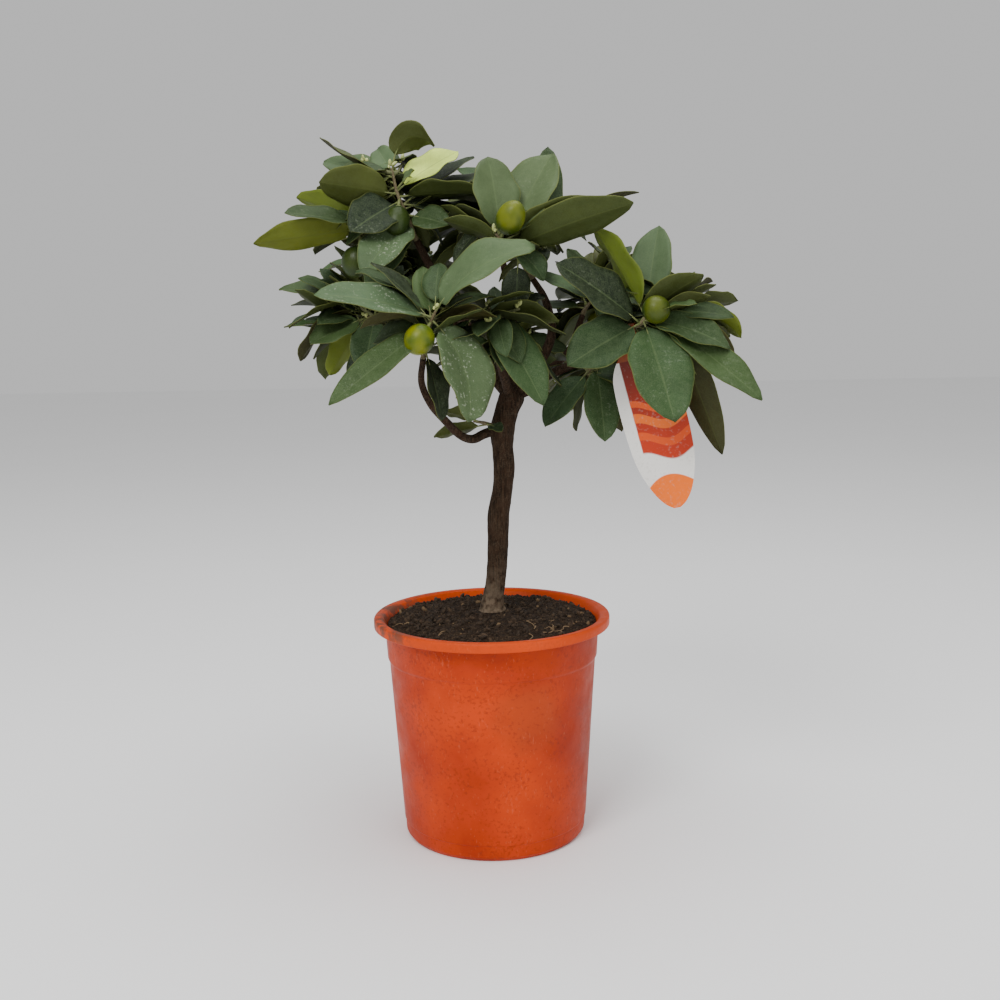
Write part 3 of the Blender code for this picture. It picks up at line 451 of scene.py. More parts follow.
def leaf_solid(leaf, root, spare=0.0, stations=BLADE_STATIONS):
    """Corners and faces of a closed leaf: a four-sided petiole that opens into a folded blade.

    With spare the leaf is that much wider and thicker, and has no petiole, to test its room.
    """
    stalk = PETIOLE / leaf.length
    sections = [] if spare else [(0.0, 0.9, 1.8), (stalk, 0.8, 1.2)]
    for share in stations:
        half = leaf_half_width(leaf, share)
        sections.append((stalk + (1 - stalk) * share, half + spare, LEAF_THICKNESS + 2 * spare))
    vertices = []
    for place, half, thick in sections:
        offset, _, normal, side = leaf_frame(leaf, place)
        middle = root + offset
        lift = normal * half * math.tan(math.radians(LEAF_FOLD)) * (half > 2)
        vertices += [middle - side * half + lift, middle + normal * thick / 2, middle + side * half + lift,
                     middle - normal * thick / 2]
    faces = [(3, 2, 1, 0)] + [(a, b, b + 4, a + 4) for a, b in neighbours(len(sections) - 1, 4)]
    tip = len(vertices)
    vertices.append(root + leaf_frame(leaf, 1.0)[0])
    last = tip - 4
    faces += [(last + corner, last + (corner + 1) % 4, tip) for corner in range(4)]
    return vertices, faces


def twig_solid(path, start_radius, end_radius, sides):
    """Corners and faces of a closed tapering twig along a path."""
    path = [Vector(p) for p in path]
    last = len(path) - 1
    first_run = (path[1] - path[0]).normalized()
    aside = first_run.orthogonal().normalized()
    vertices = []
    for i, point in enumerate(path):
        run = (path[min(i + 1, last)] - path[max(i - 1, 0)]).normalized()
        aside = (aside - run * aside.dot(run)).normalized()
        beside = run.cross(aside)
        radius = start_radius + (end_radius - start_radius) * i / last
        for corner in range(sides):
            angle = 2 * math.pi * corner / sides
            vertices.append(point + (aside * math.cos(angle) + beside * math.sin(angle)) * radius)
    faces = [tuple(range(sides))[::-1], tuple(range(sides * last, sides * (last + 1)))]
    faces += [(a, b, b + sides, a + sides) for a, b in neighbours(last, sides)]
    return vertices, faces


def oval(start, run, length, width, rings, sides, swell=0.05):
    """Corners and faces of an egg shape from start along run, swollen by a share towards its start."""
    aside = run.orthogonal().normalized()
    beside = run.cross(aside)
    vertices = [start]
    for ring in range(1, rings):
        angle = math.pi * ring / rings
        middle = start + run * length / 2 * (1 - math.cos(angle))
        radius = width / 2 * math.sin(angle) * (1 + swell * math.cos(angle))
        for corner in range(sides):
            turn = 2 * math.pi * corner / sides
            vertices.append(middle + (aside * math.cos(turn) + beside * math.sin(turn)) * radius)
    vertices.append(start + run * length)
    faces = []
    end = sides * (rings - 2)
    for corner in range(sides):
        a, b = 1 + corner, 1 + (corner + 1) % sides
        faces.append((0, b, a))
        for k in range(0, end, sides):
            faces.append((a + k, b + k, b + k + sides, a + k + sides))
        faces.append((a + end, b + end, len(vertices) - 1))
    return vertices, faces


def fruit_solid(fruit, root):
    """Corners and faces of a fruit's solid: an oval hanging on from its stalk's end."""
    run = heading_vector(fruit.heading, fruit.rise)
    return oval(root + run * (fruit.stalk - 1), run, fruit.length, fruit.width, 5, 8, 0.0)


class Taken:
    """Solids that are already there, with their owner, for testing the room of a new one."""

    def __init__(self):
        self.trees = []

    def add(self, owner, solid, outer=None):
        whole = BVHTree.FromPolygons(*solid)
        self.trees.append((owner, whole, BVHTree.FromPolygons(*outer) if outer else whole))

    def blocks(self, owner, solids, outer):
        """Whether one of the solids meets another owner's, or their outer part one of its own owner's."""
        wholes = [BVHTree.FromPolygons(*solid) for solid in solids]
        tip = BVHTree.FromPolygons(*outer)
        for other, near, far in self.trees:
            if tip.overlap(far) if other == owner else any(whole.overlap(near) for whole in wholes):
                return True
        return False


def inside(mass, points, share=1.0):
    """Whether every point is in the mass's own space, an ellipsoid, or in a share of it."""
    return all(sum(((p[i] - mass.centre[i]) / mass.reach[i] / share) ** 2 for i in range(3)) <= 1 for p in points)


def seated_stem(stem):
    """The stem, set clear of the bough's tip that it meets and running straight on from it at first."""
    for bough in BOUGHS:
        path = limb_shape(bough)[0]
        if (path[-1] - stem[0]).length < GAP:
            return lead_on(path) + stem[1:]
    return stem


def plan_foliage(taken):
    """Each mass's twigs, leaves and fruit that have room, by mass name."""
    plan = {}
    for mass in MASSES:
        stems = [[Vector(p) for p in stem] for stem in mass.stems]
        stems[0] = seated_stem(stems[0])
        for i, stem in enumerate(stems):
            taken.add(mass.name, twig_solid([stem[0]] + smooth_path(stem[1:], 2),
                                            SIDE_STEM_RADIUS if i else STEM_RADIUS, TWIG_TIP_RADIUS, 5))
        plan[mass.name] = Growth(stems, [], [])
        for fruit in mass.fruits:
            add_fruit(fruit, mass.name, plan, taken)
    for mass in MASSES:
        for leaf in mass.leaves:
            add_leaf(leaf, mass.name, plan, taken)
    for mass in MASSES:
        grow(mass, plan, taken)
    return plan


def add_fruit(fruit, owner, plan, taken):
    """Adds a fruit and its stalk to its mass."""
    root = point_along(plan[owner].stems[fruit.stem], fruit.at)
    end = root + heading_vector(fruit.heading, fruit.rise) * fruit.stalk
    plan[owner].fruits.append((fruit, root))
    taken.add(owner, twig_solid([root, end], FRUIT_STALK_RADIUS, FRUIT_STALK_RADIUS, 4))
    taken.add(owner, fruit_solid(fruit, root))


def add_leaf(leaf, owner, plan, taken):
    """Adds a leaf to its mass unless it would touch what is there."""
    root = point_along(plan[owner].stems[leaf.stem], leaf.at)
    if seat_leaf(leaf, root, owner, taken, LEAF_CLEARANCE):
        plan[owner].leaves.append((leaf, root))


def seat_leaf(leaf, root, owner, taken, clearance):
    """Takes a leaf's room if it is free, and says whether it was."""
    solid = leaf_solid(leaf, root)
    outer = leaf_solid(leaf, root, clearance, BLADE_STATIONS[1:])
    free = not taken.blocks(owner, (solid, leaf_solid(leaf, root, clearance)), outer)
    if free:
        taken.add(owner, solid, leaf_solid(leaf, root, 0.01, BLADE_STATIONS[1:]))
    return free


def grow(mass, plan, taken):
    """Grows a mass's own twigs and leaves by its seeded rule, within its space."""
    growth = plan[mass.name]
    rule = random.Random(mass.seed)
    low, high = mass.heading_range
    outward = (low + high) / 2
    for number in range(mass.shoots):
        heading = low + (high - low) * (number + rule.uniform(0.2, 0.8)) / mass.shoots
        rise = rule.uniform(*mass.rise_range)
        start = point_along(growth.stems[0], rule.uniform(0.5, 0.95))
        half = rule.uniform(*SHOOT_LENGTH) / 2
        middle = start + heading_vector(heading, rise) * half
        end = middle + heading_vector(heading + rule.uniform(-20, 20), rise + 15) * half
        free = twig_solid([start.lerp(middle, 0.4), middle, end], *SHOOT_ROOM, 3)
        spin = rule.uniform(0, 360)
        shoot = twig_solid([start, middle, end], SHOOT_RADIUS, TWIG_TIP_RADIUS, 3)
        if taken.blocks(mass.name, (shoot, free), free):
            continue
        growth.stems.append([start, middle, end])
        taken.add(mass.name, shoot, free)
        for place in SHOOT_NODES:
            spin += GOLDEN_ANGLE
            length = rule.uniform(*GROWN_LEAF_LENGTH)
            off = ((spin - outward + 180) % 360 - 180) * SPREAD
            leaf = Leaf(len(growth.stems) - 1, place, outward + off, rule.uniform(-40, 30), length,
                        length * GROWN_LEAF_WIDTH * rule.uniform(0.9, 1.1), rule.uniform(-25, 25),
                        rule.uniform(5, 40))
            if inside(mass, leaf_solid(leaf, point_along(growth.stems[leaf.stem], place))[0]):
                add_leaf(leaf, mass.name, plan, taken)


def label_sections(back_depths, loop_step, outline):
    """Middle, normal, depth and half width at each place along the label's strip, then the directions across
    it and out of its face. The strip runs up its back tab, over the twig and down its front."""
    down = Vector(LABEL_DOWN).normalized()
    across = Vector(LABEL_ACROSS)
    across = (across - down * across.dot(down)).normalized()
    front = across.cross(down)
    front = -front if front.y > 0 else front
    path = [(-0.8, LABEL_TAB, LABEL_NECK)] + [(-0.9, depth, LABEL_NECK) for depth in back_depths]
    for angle in range(-20, 201, loop_step):
        path.append((-math.cos(math.radians(angle)) * LABEL_LOOP_RADIUS,
                     -math.sin(math.radians(angle)) * LABEL_LOOP_RADIUS, LABEL_NECK))
    path += [(0.8, depth, half) for depth, half in outline]
    sections = []
    for i, (out, depth, half) in enumerate(path):
        before, after = path[max(i - 1, 0)], path[min(i + 1, len(path) - 1)]
        run = front * (after[0] - before[0]) + down * (after[1] - before[1])
        middle = Vector(LABEL_LOOP_CENTRE) + front * out + down * depth
        sections.append((middle, across.cross(run).normalized(), depth, half))
    return sections, across, front


def label_solid():
    """Corners and faces of the label's solid."""
    sections, across, _ = label_sections((7.0,), 44, LABEL_OUTLINE)
    vertices = []
    for middle, normal, _, half in sections:
        for sign, edge in ((1, -1), (1, 1), (-1, 1), (-1, -1)):
            vertices.append(middle + normal * sign * LABEL_THICKNESS / 2 + across * edge * half)
    faces = [(0, 1, 2, 3), tuple(range(len(vertices) - 1, len(vertices) - 5, -1))]
    return vertices, faces + [(b, a, a + 4, b + 4) for a, b in neighbours(len(sections) - 1, 4)]


def mesh_piece(name, vertices, faces, materials, face_slots=None):
    """A smooth piece from corners in millimetres."""
    mesh = bpy.data.meshes.new(name)
    mesh.from_pydata([tuple(Vector(v) * MM) for v in vertices], [], faces)
    for material in materials:
        mesh.materials.append(material)
    if face_slots:
        mesh.polygons.foreach_set("material_index", face_slots)
    mesh.polygons.foreach_set("use_smooth", [True] * len(faces))
    mesh.update()
    piece = bpy.data.objects.new(name, mesh)
    bpy.context.scene.collection.objects.link(piece)
    return piece


class Pile:
    """Meshes gathered into one, with a tint and a UV place for each corner."""

    def __init__(self):
        self.vertices, self.faces, self.slots, self.tints, self.uvs = [], [], [], [], []

    def add(self, vertices, faces, slot=0, tint=(1, 1, 1, 0), uvs=None):
        """Adds a shape, and says where its corners start."""
        base = len(self.vertices)
        self.vertices.extend(vertices)
        self.add_faces(base, faces, slot, tint, uvs)
        return base

    def add_faces(self, base, faces, slot, tint, uvs):
        for face in faces:
            self.faces.append(tuple(base + corner for corner in face))
            self.slots.append(slot)
            self.tints.extend([tint] * len(face))
            self.uvs.extend([uvs[corner] for corner in face] if uvs else [(0, 0)] * len(face))

    def piece(self, name, materials):
        made = mesh_piece(name, self.vertices, self.faces, materials, self.slots)
        tint = made.data.color_attributes.new("tint", "FLOAT_COLOR", "CORNER")
        tint.data.foreach_set("color", [value for color in self.tints for value in color])
        layer = made.data.uv_layers.new(name="UVMap")
        layer.data.foreach_set("uv", [value for uv in self.uvs for value in uv])
        return made


def blade(leaf, root, grid, rule):
    """Corners, upper faces, other faces and UV places of a thin leaf blade with a wavy margin."""
    across, along = grid
    stalk = PETIOLE / leaf.length
    phase = rule.uniform(0, 2 * math.pi)
    wave = rule.uniform(*MARGIN_WAVE) * leaf.width
    twist = rule.uniform(-BLADE_TWIST, BLADE_TWIST)
    sheets = [[], []]
    places = []
    for i in range(along + 1):
        t = i / along
        half = 0.0
        if 0 < i < along:
            half = leaf_half_width(leaf, t) ** FULLNESS * (leaf.width / 2) ** (1 - FULLNESS)
        half = max(half, BLADE_END_HALF)
        half *= 1 + RIPPLE_DEPTH * math.sin(RIPPLES * t + 2 * phase)
        offset, _, normal, side = leaf_frame(leaf, stalk + (1 - stalk) * t)
        for j in range(across + 1):
            s = 2 * j / across - 1
            lift = half * math.tan(math.radians(LEAF_FOLD)) * abs(s) * (1.3 - 0.3 * abs(s))
            lift += wave * s * s * math.sin(RIPPLES * t * 0.7 + (phase if s > 0 else phase * 1.7))
            lift += twist * half * s * math.sin(math.pi * t)
            point = root + offset + side * (s * half) + normal * lift
            rib = RIB if 2 * j == across else 0.0
            sheets[0].append(point + normal * (BLADE / 2 - rib * 0.4))
            sheets[1].append(point - normal * (BLADE / 2 + rib))
            places.append((j / across, t))
    row = across + 1
    count = len(sheets[0])
    upper, other = [], []
    for i in range(along):
        for j in range(across):
            a = i * row + j
            upper.append((a, a + 1, a + row + 1, a + row))
            other.append((a + count, a + row + count, a + row + 1 + count, a + 1 + count))
    rim = [i * row for i in range(along)] + [along * row + j for j in range(across)]
    rim += [i * row + across for i in range(along, 0, -1)] + list(range(across, 0, -1))
    for a, b in zip(rim, rim[1:] + rim[:1]):
        other.append((a, b, b + count, a + count))
    return sheets[0] + sheets[1], upper, other, places + places


def petiole(leaf, root):
    """Corners and faces of a leaf's stalk, run on a little way under its blade."""
    stalk = PETIOLE / leaf.length
    path = [root + leaf_frame(leaf, stalk * share)[0] for share in (0, 0.5, 1.0, 1.6)]
    return twig_solid(path, *PETIOLE_RADII, 6)


def grow_fine(mass, plan, taken):
    """The late leaves of a mass and the smaller ones on its twigs, within the same reach."""
    growth = plan[mass.name]
    rule = random.Random(mass.seed + FINE_SEED)
    fine = []
    for leaf in LATE_LEAVES.get(mass.name, ()):
        root = point_along(growth.stems[leaf.stem], leaf.at)
        outer = leaf_solid(leaf, root, FINE_CLEARANCE, BLADE_STATIONS[1:])
        if not taken.blocks(mass.name, (outer,), outer):
            taken.add(mass.name, leaf_solid(leaf, root), outer)
            fine.append((leaf, root))
    low, high = mass.heading_range if mass.shoots else FRONT_HEADINGS
    outward = (low + high) / 2
    for _ in range(FINE_TRIES if mass.shoots else BARE_STEM_TRIES):
        length = rule.uniform(*FINE_LENGTH)
        leaf = Leaf(rule.randrange(len(growth.stems)), rule.uniform(0.15, 1.0),
                    outward + rule.uniform(-FINE_SPREAD, FINE_SPREAD), rule.uniform(*FINE_RISE), length,
                    length * rule.uniform(*FINE_WIDTH), rule.uniform(-FINE_TURN, FINE_TURN),
                    rule.uniform(*FINE_ARCH))
        root = point_along(growth.stems[leaf.stem], leaf.at)
        if inside(mass, leaf_solid(leaf, root)[0], FINE_SHARE):
            if seat_leaf(leaf, root, mass.name, taken, FINE_CLEARANCE):
                fine.append((leaf, root))
    return fine


def shaded(color, rule):
    """A tone with a small seeded change of brightness and warmth."""
    light = 1 + rule.uniform(-TONE_SPREAD, TONE_SPREAD)
    warm = 1 + rule.uniform(-WARMTH_SPREAD, WARMTH_SPREAD)
    return color[0] * light * warm, color[1] * light, color[2] * light / warm


def make_crown(plan, taken, materials):
    """The leaves of each mass, and all its twigs, stalks and fruit, each kind joined."""
    twigs, fruits, buds = Pile(), Pile(), Pile()
    for mass in MASSES:
        growth = plan[mass.name]
        rule = random.Random(mass.seed + TONE_SEED)
        leaves = Pile()
        given = {leaf: i for i, leaf in enumerate(mass.leaves)}
        every = [(leaf, root, BLADE_GRID) for leaf, root in growth.leaves]
        every += [(leaf, root, BLADE_GRID if leaf.length > LARGE_LEAF else FINE_GRID)
                  for leaf, root in grow_fine(mass, plan, taken)]
        for leaf, root, grid in every:
            index = given.get(leaf)
            # A leaf's tone is mostly its painted light or shade
            tone = TONES[mass.name][index] if index is not None else rule.choice(GROWN_SHADED_TONES)
            flecks = FLECKS if index in FLECKED.get(mass.name, ()) else rule.uniform(0, STRAY_FLECKS)
            vertices, upper, other, places = blade(leaf, root, grid, rule)
            over, under = LIT_AND_SHADED_LEAF_COLORS[tone]
            base = leaves.add(vertices, upper, 0, (*shaded(over, rule), flecks), places)
            leaves.add_faces(base, other, 1, (*shaded(under, rule), flecks), places)
            twigs.add(*petiole(leaf, root), tint=PETIOLE_TINT)
        piece = leaves.piece("leaves_" + mass.name.replace("foliage_", ""), materials["leaf"])
        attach(piece, "root")
        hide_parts(mass.name)
        for i, stem in enumerate(growth.stems):
            path = smooth_path(stem if i else [stem[0]] + smooth_path(stem[1:], 3), 3)
            twigs.add(*twig_solid(path, SIDE_STEM_RADIUS if i else STEM_RADIUS, TWIG_TIP_RADIUS, 8),
                      tint=SHOOT_TINT if i else STEM_TINT)
            for _ in range(BUDS):
                spot = stem[-1] + heading_vector(rule.uniform(0, 360), rule.uniform(10, 80)) * BUD_REACH
                run = heading_vector(rule.uniform(0, 360), rule.uniform(30, 80))
                buds.add(*oval(spot, run, rule.uniform(4, 7), rule.uniform(2.4, 3.6), 6, 8), tint=BUD_TINT)
        tones = FRUIT_TONES.get(mass.name, [])
        for i, (fruit, root) in enumerate(growth.fruits):
            run = heading_vector(fruit.heading, fruit.rise)
            tint = tones[i] if i < len(tones) else (*HIDDEN_FRUIT, rule.uniform(0.1, 0.6))
            start = root + run * (fruit.stalk - 1)
            fruits.add(*oval(start, run, fruit.length, fruit.width, 20, 28), tint=tint)
            twigs.add(*twig_solid([root, root + run * fruit.stalk], *STALK_RADII, 8), tint=STALK_TINT)
            buds.add(*oval(start - run * 0.8, run, *CALYX_SIZE, 5, 10), tint=CALYX_TINT)
    for pile, name in ((twigs, "green_twigs"), (fruits, "fruit"), (buds, "buds_and_calyxes")):
        piece = pile.piece(name, [materials[name]])
        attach(piece, "root")
        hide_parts(*[mass.name for mass in MASSES])


def barked(path, radii, sides, depth):
    """A limb with long furrows and knots cut into its round."""
    vertices, faces = twig_solid(path, 1.0, 1.0, sides)
    for ring, middle in enumerate(path):
        for corner in range(sides):
            k = ring * sides + corner
            out = vertices[k] - middle
            angle = 2 * math.pi * corner / sides
            seed = Vector((math.cos(angle) * 5, math.sin(angle) * 5, middle.length * 0.035))
            furrow = abs(noise.noise(seed)) * 1.1 + 0.5 * abs(noise.noise(seed * 2.7))
            knot = max(0.0, noise.noise(Vector((angle, middle.z * 0.05, 3.1))) - 0.2)
            vertices[k] = middle + out * radii[ring] * (1 - depth * min(furrow, 1) + depth * 0.3 * knot)
    return vertices, faces


def make_bark(material):
    """The stem and its boughs with their bark, joined."""
    limbs = [(TRUNK_PATH, TRUNK_RADII, 9, BARK_SIDES, TRUNK_FURROWS)]
    limbs += [(*limb_shape(bough), 4, BOUGH_SIDES, BOUGH_FURROWS) for bough in BOUGHS]
    pile = Pile()
    for path, radii, steps, sides, depth in limbs:
        dense = smooth_path([Vector((*point, radius)) for point, radius in zip(path, radii)], steps)
        pile.add(*barked([p.to_3d() for p in dense], [p.w for p in dense], sides, depth))
    piece = pile.piece("bark_stem_and_boughs", [material])
    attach(piece, "root")
    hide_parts("trunk", *[bough.name for bough in BOUGHS])


def spun(name, profile, steps, material):
    """A turned piece, its profile carried round Z, with the modifier applied."""
    mesh = bpy.data.meshes.new(name)
    mesh.from_pydata([(radius * MM, 0, height * MM) for radius, height in profile],
                     [(i, i + 1) for i in range(len(profile) - 1)], [])
    piece = bpy.data.objects.new(name, mesh)
    bpy.context.scene.collection.objects.link(piece)
    screw = piece.modifiers.new("turn", "SCREW")
    screw.steps = steps
    screw.render_steps = steps
    screw.use_merge_vertices = True
    screw.merge_threshold = 0.0001
    screw.use_smooth_shade = True
    applied = bpy.data.meshes.new_from_object(piece.evaluated_get(bpy.context.evaluated_depsgraph_get()))
    applied.name = name
    piece.modifiers.clear()
    piece.data = applied
    shape = bmesh.new()
    shape.from_mesh(applied)
    bmesh.ops.remove_doubles(shape, verts=shape.verts, dist=0.00002)
    bmesh.ops.recalc_face_normals(shape, faces=shape.faces)
    shape.to_mesh(applied)
    shape.free()
    applied.materials.clear()
    applied.materials.append(material)
    return piece


def rounded(profile, reach, steps=3):
    """The profile with each inner corner swept round, at most reach from it."""
    out = [profile[0]]
    for before, corner, after in zip(profile, profile[1:], profile[2:]):
        b, c, a = Vector(before), Vector(corner), Vector(after)
        into = min(reach, (c - b).length * 0.4)
        away = min(reach, (a - c).length * 0.4)
        p, q = c + (b - c).normalized() * into, c + (a - c).normalized() * away
        for step in range(steps + 1):
            t = step / steps
            out.append(tuple(p.lerp(c, t).lerp(c.lerp(q, t), t)))
    return out + [profile[-1]]


def make_pot(material):
    """The tub, turned from its profile, with its drain holes cut through the floor."""
    pot = spun("nursery_pot", rounded(pot_profile(), POT_ROUNDING), POT_TURNS, material)
    for hole in range(DRAIN_HOLES):
        angle = 2 * math.pi * (hole + 0.5) / DRAIN_HOLES
        bpy.ops.mesh.primitive_cylinder_add(
            vertices=24, radius=DRAIN_HOLE_RADIUS * MM, depth=4 * POT_FLOOR * MM,
            location=(DRAIN_CIRCLE_RADIUS * MM * math.cos(angle), DRAIN_CIRCLE_RADIUS * MM * math.sin(angle), 0))
        drill = bpy.context.active_object
        boolean = pot.modifiers.new("hole", "BOOLEAN")
        boolean.operation = "DIFFERENCE"
        boolean.object = drill
        mesh = bpy.data.meshes.new_from_object(pot.evaluated_get(bpy.context.evaluated_depsgraph_get()))
        pot.modifiers.clear()
        pot.data = mesh
        bpy.data.objects.remove(drill)
    pot.data.set_sharp_from_angle(angle=math.radians(50))
    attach(pot, "root")
    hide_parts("pot")


def soil_top(radius):
    """Height of the compost's smooth top at a distance from the middle."""
    line = [(0, SOIL_TOP), (SOIL_PATCH_RADIUS, SOIL_TOP), (SOIL_PATCH_RADIUS + 5, SOIL_TOP + 0.5),
            (40, SOIL_TOP + 0.5), (70, SOIL_TOP - 1.5), (SOIL_RADIUS - 8, SOIL_EDGE_TOP + 2.5),
            (SOIL_RADIUS, SOIL_EDGE_TOP)]
    for (r0, h0), (r1, h1) in zip(line, line[1:]):
        if radius <= r1:
            return h0 + (h1 - h0) * (radius - r0) / (r1 - r0)
    return SOIL_EDGE_TOP


def soil_height(x, y):
    """Height of the rough top, sunk by seeded lumps except close to the stem."""
    radius = math.hypot(x, y)
    lumps = 0.55 + 0.45 * noise.noise(Vector((x * 0.05, y * 0.05, 7)))
    lumps += 0.35 * noise.noise(Vector((x * 0.16, y * 0.16, 3)))
    near = min(1.0, max(0.0, (radius - 12) / 12))
    return soil_top(radius) - SOIL_DROP * max(0.0, min(1.2, lumps)) * near


def make_soil(material, crumb, thread):
    """The compost in the tub, with loose crumbs and root threads on its top."""
    rings = [SOIL_RADIUS * i / SOIL_RINGS for i in range(SOIL_RINGS + 1)]
    side = [(radius - GAP, height) for radius, height in pot_inner_wall()][1:-1][::-1]
    profile = [(radius, soil_top(radius)) for radius in rings] + [(SOIL_RADIUS, POT_HEIGHT - 12)] + side
    profile += [(POT_BASE_RADIUS - POT_WALL - 2, POT_FLOOR + GAP), (0, POT_FLOOR + GAP)]
    soil = spun("compost", profile, SOIL_TURNS, material)
    for vertex in soil.data.vertices:
        x, y, z = vertex.co / MM
        if z > SOIL_EDGE_TOP - 0.5 and math.hypot(x, y) < SOIL_RADIUS + 0.1:
            vertex.co.z = soil_height(x, y) * MM
    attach(soil, "root")
    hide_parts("soil")
    rule = random.Random(SOIL_SEED)
    noise.seed_set(SOIL_SEED)
    make_crumbs(crumb, rule)
    make_threads(thread, rule)


def make_crumbs(material, rule):
    """Loose bits of compost, a few of them pale."""
    crumbs = Pile()
    for _ in range(CRUMBS):
        radius = math.sqrt(rule.random()) * (SOIL_RADIUS - 3)
        angle = rule.uniform(0, 2 * math.pi)
        if radius < SOIL_PATCH_RADIUS - 1:
            continue
        x, y = radius * math.cos(angle), radius * math.sin(angle)
        size = rule.choice(CRUMB_SIZES)
        spot = Vector((x, y, soil_height(x, y) + size * 0.2))
        run = heading_vector(rule.uniform(0, 360), rule.uniform(-20, 60))
        shade = rule.choice(CRUMB_SHADES)
        tint = PALE_CRUMB if rule.random() < PALE_SHARE else tuple(value * shade for value in DARK_CRUMB)
        vertices, faces = oval(spot - run * size, run, size * rule.uniform(1.6, 3.2), size * 1.5, 4, 6)
        jag = [v + noise.noise_vector(v * 0.9) * size * 0.35 for v in vertices]
        crumbs.add(jag, faces, tint=(*tint, 0))
    piece = crumbs.piece("compost_crumbs", [material])
    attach(piece, "root")
    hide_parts("soil")


def make_threads(material, rule):
    """Fine dry roots that wander over the compost."""
    threads = Pile()
    for x, y, heading, length in THREADS:
        path = []
        spot = Vector((x, y, 0))
        for step in range(10):
            height = soil_height(spot.x, spot.y) + 1.2 + 0.8 * math.sin(step * 1.3 + x)
            path.append(Vector((spot.x, spot.y, height)))
            heading += rule.uniform(-THREAD_TURN, THREAD_TURN)
            spot += heading_vector(heading, 0) * length / 9
        threads.add(*twig_solid(smooth_path(path, 3), *THREAD_RADII, 6), tint=THREAD_TINT)
    piece = threads.piece("root_threads", [material])
    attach(piece, "root")


def make_label(material):
    """The label's strip with a smooth outline, a slight bow and its own UV."""
    sections, across, front = label_sections((11.0, 7.0), 11, smooth_path(LABEL_OUTLINE, 5))
    vertices, uvs = [], []
    for middle, normal, depth, half in sections:
        for sheet in (1, -1):
            for j in range(LABEL_COLUMNS + 1):
                s = 2 * j / LABEL_COLUMNS - 1
                bow = front * (-LABEL_BOW * s * s * (half > 6)) * min(1, half / 20)
                vertices.append(middle + normal * sheet * LABEL_THICKNESS / 2 + across * s * half + bow)
                uvs.append((0.5 + s * half / 60, depth / 162))
    wide = LABEL_COLUMNS + 1
    row = 2 * wide
    faces = []
    for a in range(0, (len(sections) - 1) * row, row):
        for j in range(a, a + LABEL_COLUMNS):
            faces.append((j, j + 1, j + row + 1, j + row))
            faces.append((j + wide, j + wide + row, j + wide + row + 1, j + wide + 1))
        faces.append((a, a + row, a + wide + row, a + wide))
        b = a + LABEL_COLUMNS
        faces.append((b, b + wide, b + wide + row, b + row))
    last = (len(sections) - 1) * row
    for j in range(LABEL_COLUMNS):
        faces.append((j, j + wide, j + wide + 1, j + 1))
        faces.append((last + j, last + j + 1, last + j + wide + 1, last + j + wide))
    pile = Pile()
    pile.add(vertices, faces, uvs=uvs)
    piece = pile.piece("hanging_label", [material])
    shape = bmesh.new()
    shape.from_mesh(piece.data)
    bmesh.ops.recalc_face_normals(shape, faces=shape.faces)
    shape.to_mesh(piece.data)
    shape.free()
    piece.data.set_sharp_from_angle(angle=math.radians(40))
    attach(piece, "root")
    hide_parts("label")


class Paint:
    """A material's node tree, with short calls for the nodes that this scene uses."""

    def __init__(self, tree):
        self.tree = tree

    def node(self, kind, inputs=(), **settings):
        made = self.tree.nodes.new("ShaderNode" + kind)
        for key, value in settings.items():
            setattr(made, key, value)
        for key, value in dict(inputs).items():
            self.feed(made.inputs[key], value)
        return made

    def feed(self, socket, value):
        if isinstance(value, bpy.types.NodeSocket):
            self.tree.links.new(value, socket)
        else:
            socket.default_value = value

    def math(self, operation, a, b=0.0):
        return self.node("Math", {0: a, 1: b}, operation=operation).outputs[0]

    def times(self, a, b):
        return self.math("MULTIPLY", a, b)

    def plus(self, a, b):
        return self.math("ADD", a, b)

    def span(self, value, low, high, out_low=0.0, out_high=1.0):
        """value from low..high carried to out_low..out_high and held there."""
        return self.node("MapRange", {"Value": value, "From Min": low, "From Max": high, "To Min": out_low,
                                      "To Max": out_high}).outputs[0]

    def mix(self, share, a, b, blend="MIX"):
        """a turned into b by a share. A plain colour is given as three values."""
        a, b = [(*value, 1) if isinstance(value, tuple) else value for value in (a, b)]
        return self.node("Mix", {0: share, 6: a, 7: b}, data_type="RGBA", blend_type=blend).outputs[2]

    def over(self, color, tone, mask, amount):
        """color with tone laid over it by no more than amount where mask is."""
        return self.mix(self.times(mask, amount), color, tone)

    def noise(self, place, scale, detail=3.0, rough=0.55):
        return self.node("TexNoise", {"Vector": place, "Scale": scale, "Detail": detail,
                                      "Roughness": rough}).outputs["Fac"]

    def axes(self, vector):
        return self.node("SeparateXYZ", {0: vector}).outputs

    def uv(self):
        return self.axes(self.node("UVMap", uv_map="UVMap").outputs[0])

    def tint(self):
        return self.node("Attribute", attribute_name="tint").outputs

    def stretched(self, place, scale):
        return self.node("Mapping", {"Vector": place, "Scale": scale}).outputs[0]

    def marks(self, tree, place, scale, amount):
        """The scattered marks of a group, as a mask and a height."""
        made = self.tree.nodes.new("ShaderNodeGroup")
        made.node_tree = tree
        for key, value in (("Place", place), ("Scale", scale), ("Amount", amount)):
            self.feed(made.inputs[key], value)
        return made.outputs["Mask"], made.outputs["Height"]

    def surface(self, color, relief, strength, distance, rough=None):
        """Feeds the shader its colour, the bump of a relief and, where it varies, its roughness."""
        shader = self.tree.nodes["Principled BSDF"]
        self.feed(shader.inputs["Base Color"], color)
        if rough is not None:
            self.feed(shader.inputs["Roughness"], rough)
        bump = self.node("Bump", {"Height": relief, "Strength": strength, "Distance": distance}).outputs[0]
        self.feed(shader.inputs["Normal"], bump)


